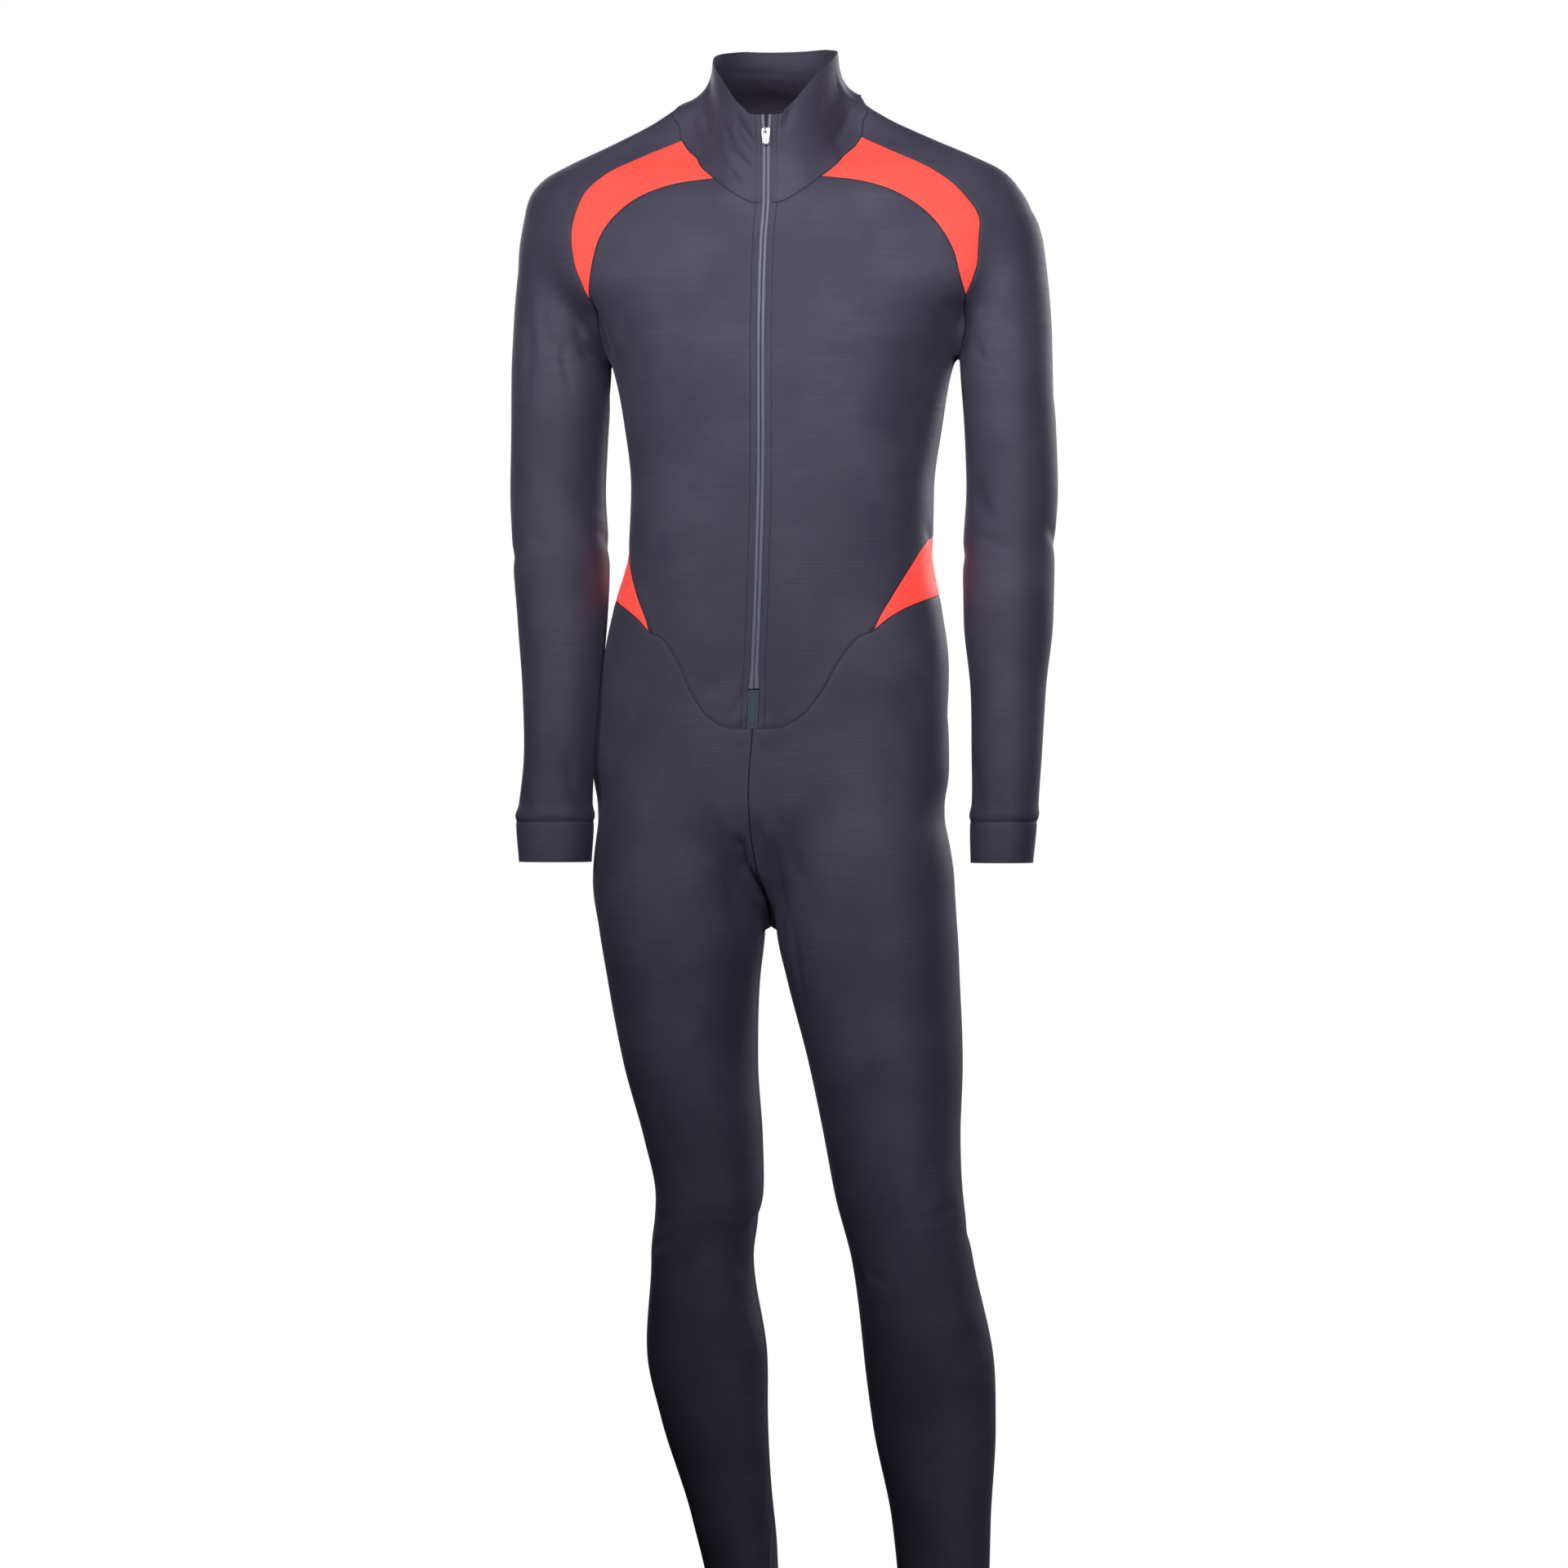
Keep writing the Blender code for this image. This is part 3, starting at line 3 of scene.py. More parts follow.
import bmesh
import bpy
import numpy as np
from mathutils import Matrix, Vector


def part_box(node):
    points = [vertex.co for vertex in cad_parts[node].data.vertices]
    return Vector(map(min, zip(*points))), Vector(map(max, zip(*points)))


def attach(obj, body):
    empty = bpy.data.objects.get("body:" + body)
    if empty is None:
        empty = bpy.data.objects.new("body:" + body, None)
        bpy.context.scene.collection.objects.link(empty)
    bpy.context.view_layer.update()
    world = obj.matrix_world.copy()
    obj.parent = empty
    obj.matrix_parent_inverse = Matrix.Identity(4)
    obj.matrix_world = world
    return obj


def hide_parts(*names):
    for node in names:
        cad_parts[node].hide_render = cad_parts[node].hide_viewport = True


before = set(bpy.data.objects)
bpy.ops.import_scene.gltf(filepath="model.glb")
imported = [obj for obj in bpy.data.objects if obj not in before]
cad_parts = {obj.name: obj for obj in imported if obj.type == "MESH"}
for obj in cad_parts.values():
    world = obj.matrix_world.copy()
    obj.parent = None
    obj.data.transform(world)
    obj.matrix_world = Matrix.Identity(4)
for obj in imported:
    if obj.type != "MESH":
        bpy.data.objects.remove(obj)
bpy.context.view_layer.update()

# Driving sizes
HOLD_HEIGHT = 1.5475
CLOTH = 0.0015
SEAM_GAP = 0.0003
HEM_HEIGHT = 0.09
CUFF_SEAM_HEIGHT = 0.8795
CUFF_END_HEIGHT = 0.841
ARMHOLE_HEIGHT = 1.3625
UNDERARM_X = 0.1655
FORK_HEIGHT = 0.87
FORK_LOW_HEIGHT = 0.79
ZIP_BOTTOM_HEIGHT = 0.965
COIL_END_HEIGHT = 1.001
COIL_END_GAP = 0.0014
SLOT_WAIST_HEIGHT = 1.165

# How finely each seam and piece is divided
COLUMNS_V_BOTTOM = 60
ROWS_V_SIDE = 20
ROWS_WEDGE_HALF = 22
ROWS_SIDE_SEAM = 44
ROWS_ARMHOLE = 14
ROWS_RAGLAN = 44
COLUMNS_BACK_HALF = 32
COLUMNS_BAND = 14
COLUMNS_SLEEVE = 96
ROWS_SLEEVE = 150
ROWS_CUFF = 12
ROWS_FORK = 44
ROWS_LEG = 180
ROWS_COLLAR = 26
ROWS_WEDGE_DEPTH = 12
EDGES = ("first", "last", "top", "bottom")
NECK_SEAMS = ("neck_front", "neck_band", "neck_sleeve", "neck_back")
DENSE = 600
SPECK = 1e-6

# How rays find the surface: the longest ray on each limb, and how a ray steps towards it
TORSO_REACH = 0.34
LEG_REACH = 0.21
SLEEVE_REACH = 0.12
RAY_STEPS = 60
RAY_HALVINGS = 14
RAY_SHARE = 0.6
RAY_SHORTEST = 0.0006
RAY_LONGEST = 0.03
NORMAL_STEP = 0.002
END_SLOPE = 2

# Cloth and thread
SHELL = 0.0009
EDGE_STEPS = (0.0009, 0.0022, 0.004)
PLACKET_STEPS = (0.0009, 0.0022, 0.004, 0.0054, 0.006, 0.0066, 0.008)
EDGE_SHARE = 0.04
EXTRA_ROW = 0.4
TIP_CUT = 0.08
FOLD_FACING = 0.1
FOLD_FADE = 2
FOLD_TAPER = 0.6
GROOVE_DEPTH = 0.0006
GROOVE_REACH = 0.0018
PLACKET_WIDTH = 0.006
PLACKET_EDGE = 0.0005
PLACKET_RISE = 0.00035
PLACKET_SINK = 0.00045
BLOUSE = 0.0013
BLOUSE_HEIGHT = 0.0065
BLOUSE_WIDTH = 0.0055
HEM_HEIGHT_ABOVE = 0.02
HEM_RISE = 0.0004
HEM_STEP = 0.0006
HEM_STITCH = 0.0012
HEM_DIP = 0.0003
SEAM_WIDTH = 0.0012
SEAM_PROUD = 0.00025
SEAM_SUNK = 0.00045
SHORTEST_SEAM = 0.004
RING_POINTS = 60
CORD_SIDES = 6
THREAD_WIDTH = 0.0005
THREAD_PROUD = 0.00022
THREAD_SIDES = 5
STITCH_ARCH = (-1.0, 0.5, 0.5, -1.0)
STITCH_LENGTH = 0.0022
STITCH_PITCH = 0.003
PATCH_STITCH = (0.0014, 0.002)
PATCH_BAR = (0.001, 0.0013)
SMOOTH_ANGLE = 50.0

# Knit: how fine its streaks, patches, courses and loops are, and how deep
STREAK_SCALE = (22.0, 22.0, 560.0)
PATCH_SCALE = 14.0
COURSE_SCALE = 330.0
LOOP_SCALE = 1500.0
LOOP_DEPTH = 0.00012
STREAK_DEPTH = 0.0005

# Zip
COIL_PITCH = 0.0015
COIL_SINK = 0.0004
COIL_ROUND = 0.0008
COIL_CROWN = 0.00035
COIL_RIB = 0.00016
COIL_SPREAD = 0.00115
COIL_SPREAD_TOP = 1.02
SMOOTHINGS = 3
PATCH_POINTS = 9
PATCH_ROUND = 0.0005
PATCH_WING = 0.001
PLATE_BEVEL = 0.00028
POST_BEVEL = 0.0001
RING_BEVEL = 0.00012
RING_CORNERS = 15
TAB_BEVEL = 0.00025
WINDOW_BEVEL = 0.0002
CORNER_CUT = 0.0012
CUT_PAST = 0.001
TAB_GRIPS = 3
GRIP_PITCH = 0.0014
GRIP_HEIGHT = 0.0006
GRIP_DEPTH = 0.00018
GRIP_INSET = 0.0022
GRIP_BEVEL = 0.00004
METAL_ANGLE = 35.0

# Studio. The camera's height is above the wearer's floor. The lights' places are in the row frame.
CAMERA_TURN = 10.0
CAMERA_DISTANCE = 4.5
CAMERA_HEIGHT = 0.914
FRAME_WIDTH = 1.4707
SENSOR = 36.0
FLOOR_RADIUS = 1.0
FLOOR_POINTS = 128
FLOOR_GLOW = 0.5
ROOM_LIGHT = 0.006
WHITE = (1.0, 1.0, 1.0, 1.0)
# Columns: name, place, aim, width, height, power, spread in degrees
LIGHTS = (
    ("key", (1.0, -2.6, 0.75), (0.02, 0.0, -0.14), 1.2, 0.9, 2.25, 36.0),
    ("chest", (0.1, -2.8, 0.7), (0.03, 0.0, -0.1), 0.9, 0.7, 0.75, 22.0),
    ("fill", (-1.8, -2.4, 0.4), (0.0, 0.0, -0.32), 1.2, 1.2, 1.5, 26.0),
    ("legs", (1.6, -2.2, -0.5), (0.27, 0.0, -1.0), 0.6, 1.2, 0.65, 24.0),
    ("rim_left", (2.2, 1.4, 0.3), (0.1, 0.0, -0.5), 0.7, 1.6, 0.7, 90.0),
    ("rim_right", (-2.2, 1.4, 0.3), (-0.1, 0.0, -0.5), 0.7, 1.6, 0.5, 90.0),
    ("top", (0.1, -0.5, 2.0), (0.0, 0.0, 0.0), 1.2, 0.8, 0.65, 80.0),
    ("back_left", (1.3, 2.6, 0.5), (0.0, 0.1, -0.4), 1.4, 1.4, 6.0, 60.0),
    ("back_right", (-1.5, 2.5, 0.7), (0.0, 0.1, -0.4), 1.2, 1.2, 3.5, 60.0),
)

# The general figure that the suit is cut for, as level sections of its limbs.
# Columns: height, shift, middle, half width, front, back, squareness.
# Front and back are measured from the section's widest line, which lies at y = middle.
TORSO = (
    (1.64, 0.0, -0.05, 0.06, 0.06, 0.06, 2.0),
    (1.6, 0.0, -0.046, 0.066, 0.05, 0.068, 2.0),
    (1.56, 0.0, -0.04, 0.078, 0.034, 0.085, 2.0),
    (1.5475, -0.006, -0.038, 0.086, 0.029, 0.09, 2.0),
    (1.5325, -0.0069, -0.034, 0.1083, 0.029, 0.094, 2.0),
    (1.514, -0.0081, -0.026, 0.1485, 0.04, 0.096, 2.0),
    (1.495, -0.009, -0.019, 0.1931, 0.062, 0.099, 2.0),
    (1.483, -0.009, -0.015, 0.2168, 0.08, 0.1, 2.0),
    (1.471, -0.009, -0.012, 0.2292, 0.092, 0.101, 2.0),
    (1.451, -0.0071, -0.005, 0.2395, 0.108, 0.103, 2.0),
    (1.42, -0.0055, 0.0, 0.246, 0.116, 0.106, 2.0),
    (1.4, -0.0051, 0.0, 0.2405, 0.118, 0.109, 2.0),
    (1.38, -0.0039, 0.0, 0.2255, 0.12, 0.111, 2.1),
    (1.36, -0.0029, 0.0, 0.2045, 0.121, 0.112, 2.2),
    (1.34, -0.0018, 0.0, 0.1835, 0.122, 0.113, 2.3),
    (1.32, -0.0008, 0.0, 0.1681, 0.122, 0.113, 2.4),
    (1.3, -0.0007, 0.0, 0.1586, 0.121, 0.113, 2.4),
    (1.25, -0.0003, 0.0, 0.1487, 0.118, 0.108, 2.4),
    (1.19, -0.001, 0.0, 0.1417, 0.113, 0.098, 2.4),
    (1.13, -0.003, 0.0, 0.1427, 0.109, 0.092, 2.4),
    (1.08, -0.006, 0.0, 0.154, 0.105, 0.098, 2.3),
    (1.03, -0.008, 0.0, 0.1625, 0.101, 0.111, 2.3),
    (0.98, -0.011, 0.0, 0.1655, 0.097, 0.122, 2.2),
    (0.93, -0.0133, 0.0, 0.1682, 0.092, 0.127, 2.2),
    (0.89, -0.0131, 0.0, 0.161, 0.086, 0.122, 2.2),
    (0.86, -0.0133, 0.0, 0.139, 0.076, 0.108, 2.2),
    (0.83, -0.0131, 0.0, 0.0945, 0.058, 0.08, 2.1),
    (0.805, -0.0124, 0.0, 0.0508, 0.034, 0.045, 2.0),
)
TORSO_FLOOR = 0.805

# Columns: height, x, middle, half width, half depth. x is towards the arm's own side.
RIGHT_ARM = (
    (1.44, 0.204, 0.0, 0.036, 0.05),
    (1.4, 0.2095, 0.0, 0.044, 0.054),
    (1.343, 0.2131, 0.0, 0.0454, 0.055),
    (1.3, 0.2135, 0.0, 0.047, 0.055),
    (1.23, 0.2157, 0.0, 0.0455, 0.051),
    (1.19, 0.2168, 0.0, 0.0451, 0.049),
    (1.13, 0.2123, -0.007, 0.0455, 0.05),
    (1.067, 0.209, -0.016, 0.042, 0.048),
    (1.0, 0.2076, -0.026, 0.0365, 0.042),
    (0.94, 0.2083, -0.033, 0.0332, 0.037),
    (0.895, 0.211, -0.036, 0.0347, 0.034),
    (0.8795, 0.2118, -0.036, 0.0367, 0.034),
    (0.841, 0.2115, -0.036, 0.0342, 0.033),
)
LEFT_ARM = (
    (1.44, 0.1982, 0.0, 0.036, 0.05),
    (1.4, 0.2037, 0.0, 0.043, 0.054),
    (1.343, 0.2084, 0.0, 0.0435, 0.055),
    (1.3, 0.2102, 0.0, 0.043, 0.055),
    (1.23, 0.2144, 0.0, 0.0425, 0.051),
    (1.19, 0.2155, 0.0, 0.0425, 0.049),
    (1.13, 0.2128, -0.003, 0.0425, 0.05),
    (1.067, 0.2132, -0.009, 0.0415, 0.048),
    (1.0, 0.2137, -0.015, 0.0348, 0.042),
    (0.94, 0.2127, -0.018, 0.0325, 0.037),
    (0.895, 0.2113, -0.019, 0.031, 0.034),
    (0.8795, 0.21, -0.019, 0.031, 0.034),
    (0.841, 0.2083, -0.019, 0.029, 0.032),
)
ARM_TOP = 1.44
ARM_FREE_HEIGHT = 1.312
ARM_FADE = 1.0

# Columns: height, x, middle, half width, front, back. x is towards the leg's own side.
RIGHT_LEG = (
    (0.95, 0.094, 0.0, 0.05, 0.07, 0.085),
    (0.87, 0.101, 0.0, 0.076, 0.086, 0.098),
    (0.82, 0.1003, 0.0, 0.0808, 0.088, 0.096),
    (0.7756, 0.0971, 0.0, 0.0776, 0.087, 0.092),
    (0.73, 0.0956, 0.0, 0.0713, 0.084, 0.087),
    (0.6536, 0.0889, -0.001, 0.063, 0.077, 0.078),
    (0.58, 0.076, -0.003, 0.0553, 0.068, 0.066),
    (0.531, 0.0702, -0.004, 0.0504, 0.063, 0.058),
    (0.4697, 0.0774, -0.002, 0.048, 0.055, 0.056),
    (0.3778, 0.0747, 0.006, 0.0566, 0.052, 0.064),
    (0.3165, 0.0684, 0.01, 0.0504, 0.046, 0.058),
    (0.2245, 0.0514, 0.014, 0.039, 0.039, 0.046),
    (0.15, 0.0375, 0.014, 0.0357, 0.037, 0.043),
    (0.09, 0.031, 0.012, 0.0357, 0.04, 0.045),
)
LEFT_LEG = (
    (0.95, 0.065, 0.0, 0.05, 0.07, 0.085),
    (0.87, 0.0742, 0.0, 0.0788, 0.086, 0.098),
    (0.82, 0.0757, 0.0, 0.0848, 0.089, 0.097),
    (0.7756, 0.0791, -0.001, 0.0844, 0.089, 0.093),
    (0.73, 0.0856, -0.003, 0.0804, 0.087, 0.088),
    (0.6536, 0.0982, -0.01, 0.0716, 0.082, 0.079),
    (0.58, 0.1062, -0.018, 0.0628, 0.073, 0.067),
    (0.531, 0.1129, -0.023, 0.0593, 0.067, 0.061),
    (0.4697, 0.1252, -0.02, 0.0564, 0.06, 0.06),
    (0.3778, 0.1385, -0.008, 0.0603, 0.057, 0.068),
    (0.3165, 0.1425, -0.002, 0.0574, 0.05, 0.062),
    (0.2245, 0.1485, 0.004, 0.046, 0.044, 0.05),
    (0.15, 0.151, 0.006, 0.0421, 0.041, 0.046),
    (0.09, 0.1525, 0.006, 0.0417, 0.044, 0.047),
)
LEG_TOP = 0.95

# How softly limbs run into each other
ARM_BLEND = 0.012
LEG_BLEND = 0.014

# Centre front and centre back: height, x
MIDLINE = (
    (1.64, 0.0032),
    (1.45, 0.0032),
    (1.41, 0.0011),
    (1.22, -0.0013),
    (1.06, -0.0076),
    (1.02, -0.01),
    (0.965, -0.0128),
    (0.9, -0.018),
    (0.86, -0.0175),
    (0.79, -0.0125),
)

# Neck seam: turn from the centre front in degrees about the neck, height
ZIP_TOP_X = 0.0032
NECK = (ZIP_TOP_X, -0.038)
NECK_SEAM = (
    (0.0, 1.445),
    (9.0, 1.4462),
    (22.0, 1.455),
    (37.7, 1.4706),
    (54.0, 1.4877),
    (75.4, 1.512),
    (81.5, 1.53),
    (88.0, 1.544),
    (98.0, 1.553),
    (112.0, 1.5562),
    (145.0, 1.555),
    (180.0, 1.552),
)
BAND_INNER_TURN = 37.7
BAND_OUTER_TURN = 75.4
RAGLAN_BACK_TURN = 132.0
SLOT_TURN = 12.0

# Seams on the front and back: height, x from the midline on the right side and on the left
BAND_INNER_EDGE = (
    (1.3625, 0.1714, 0.1805),
    (1.383, 0.1683, 0.1758),
    (1.3994, 0.1651, 0.1718),
    (1.4228, 0.1572, 0.159),
    (1.4458, 0.1366, 0.134),
    (1.4602, 0.1093, 0.1063),
    (1.4672, 0.0823, 0.079),
)
BAND_OUTER_EDGE = (
    (1.3625, 0.1714, 0.1805),
    (1.378, 0.1775, 0.1875),
    (1.3963, 0.1849, 0.192),
    (1.4272, 0.1894, 0.1926),
    (1.4575, 0.1808, 0.1752),
    (1.479, 0.1597, 0.148),
    (1.497, 0.125, 0.111),
)
RAGLAN_BACK_EDGE = (
    (1.3625, 0.173, 0.179),
    (1.4, 0.182, 0.185),
    (1.435, 0.178, 0.18),
    (1.47, 0.156, 0.156),
    (1.502, 0.12, 0.12),
    (1.53, 0.088, 0.088),
)

# Waist seams: turn from the centre front in degrees, height
SIDE_TURN = 100.0
SIDE_SEAM = (
    (95.0, 1.23),
    (SIDE_TURN, 1.1476),
)
V_BOTTOM_SEAM = (
    (14.0, 0.966),
    (21.5, 0.9715),
    (27.0, 0.98),
)
V_SIDE_SEAM = (
    (27.0, 0.98),
    (33.0, 0.998),
    (40.0, 1.03),
    (48.0, 1.0515),
    (51.5, 1.054),
)
WEDGE_UPPER_EDGE = (
    (51.5, 1.054),
    (53.6, 1.067),
    (57.0, 1.081),
    (62.0, 1.099),
    (69.0, 1.118),
    (79.0, 1.136),
    (100.0, 1.1476),
)
WEDGE_LOWER_EDGE = (
    (51.5, 1.054),
    (57.8, 1.067),
    (65.0, 1.0764),
    (78.0, 1.0856),
    (100.0, 1.0925),
)
BACK_WAIST_SEAM = (
    (148.5, 1.054),
    (162.0, 1.05),
    (180.0, 1.048),
)

# Sleeve head: rings fan about this line from the armhole to the neck.
FAN_X = 0.12
FAN_HEIGHT = 1.345
FAN_SCALE = 0.12
# Columns: turn in degrees, distance of the ring's middle from the fan line, middle
FAN = (
    (0.0, 0.088, 0.0),
    (30.0, 0.098, 0.0),
    (60.0, 0.115, -0.004),
    (90.0, 0.135, -0.012),
    (110.0, 0.145, -0.02),
)

# Collar: turn in degrees, top turn in degrees, top height, lean of the cloth at the neck seam
COLLAR = (
    (0.0, 0.0, 1.5262, 0.05),
    (13.0, 13.0, 1.5274, 0.08),
    (19.0, 19.0, 1.5325, 0.1),
    (28.0, 28.0, 1.5405, 0.15),
    (38.0, 38.0, 1.5515, 0.3),
    (48.0, 48.0, 1.562, 0.6),
    (60.0, 60.0, 1.572, 1.0),
    (75.0, 75.0, 1.5815, 1.9),
    (90.0, 90.0, 1.589, 2.8),
    (119.0, 119.0, 1.597, 2.4),
    (145.0, 145.0, 1.6005, 1.3),
    (180.0, 180.0, 1.601, 0.7),
)
COLLAR_TOP_X = 0.0012
COLLAR_TOP_MIDDLE = -0.053
COLLAR_TOP_WIDTH = 0.0585
COLLAR_TOP_DEPTH = 0.059
COLLAR_STAND = 1.5
COLLAR_PULL_TURN = 14.0

# Zip. Half slot: height, distance from the midline to the panel's edge
SLOT = (
    (0.95, 0.0052),
    (1.0, 0.0052),
    (1.02, 0.004),
    (1.498, 0.004),
    (1.509, 0.0044),
    (1.5142, 0.0047),
    (1.5262, 0.0056),
)
COIL_WIDTH = 0.0034
COIL_PROUD = 0.0003
TAPE_REACH = 0.005
TAPE_THICKNESS = 0.0009
TAPE_DEPTH = CLOTH + 0.0004
SLIDER_TOP_HEIGHT = 1.5142
SLIDER_LENGTH = 0.0146
SLIDER_WIDTH = 0.0078
SLIDER_NOSE_WIDTH = 0.0062
SLIDER_PLATE = 0.0012
SLIDER_THROAT = 0.0046
POST_WIDTH = 0.001
POST_HEIGHT = 0.0034
POST_INSET = 0.0002
HINGE_HEIGHT = 1.5114
HINGE_GAP = 0.00105
RING_INNER = 0.00095
RING_OUTER = 0.00175
RING_WIDTH = 0.0016
TAB_LENGTH = 0.0135
TAB_WIDTH = 0.0074
TAB_NOSE_WIDTH = 0.0058
TAB_THICKNESS = 0.0011
TAB_BAR = 0.0012
WINDOW_WIDTH = 0.0028
WINDOW_HEIGHT = 0.0018

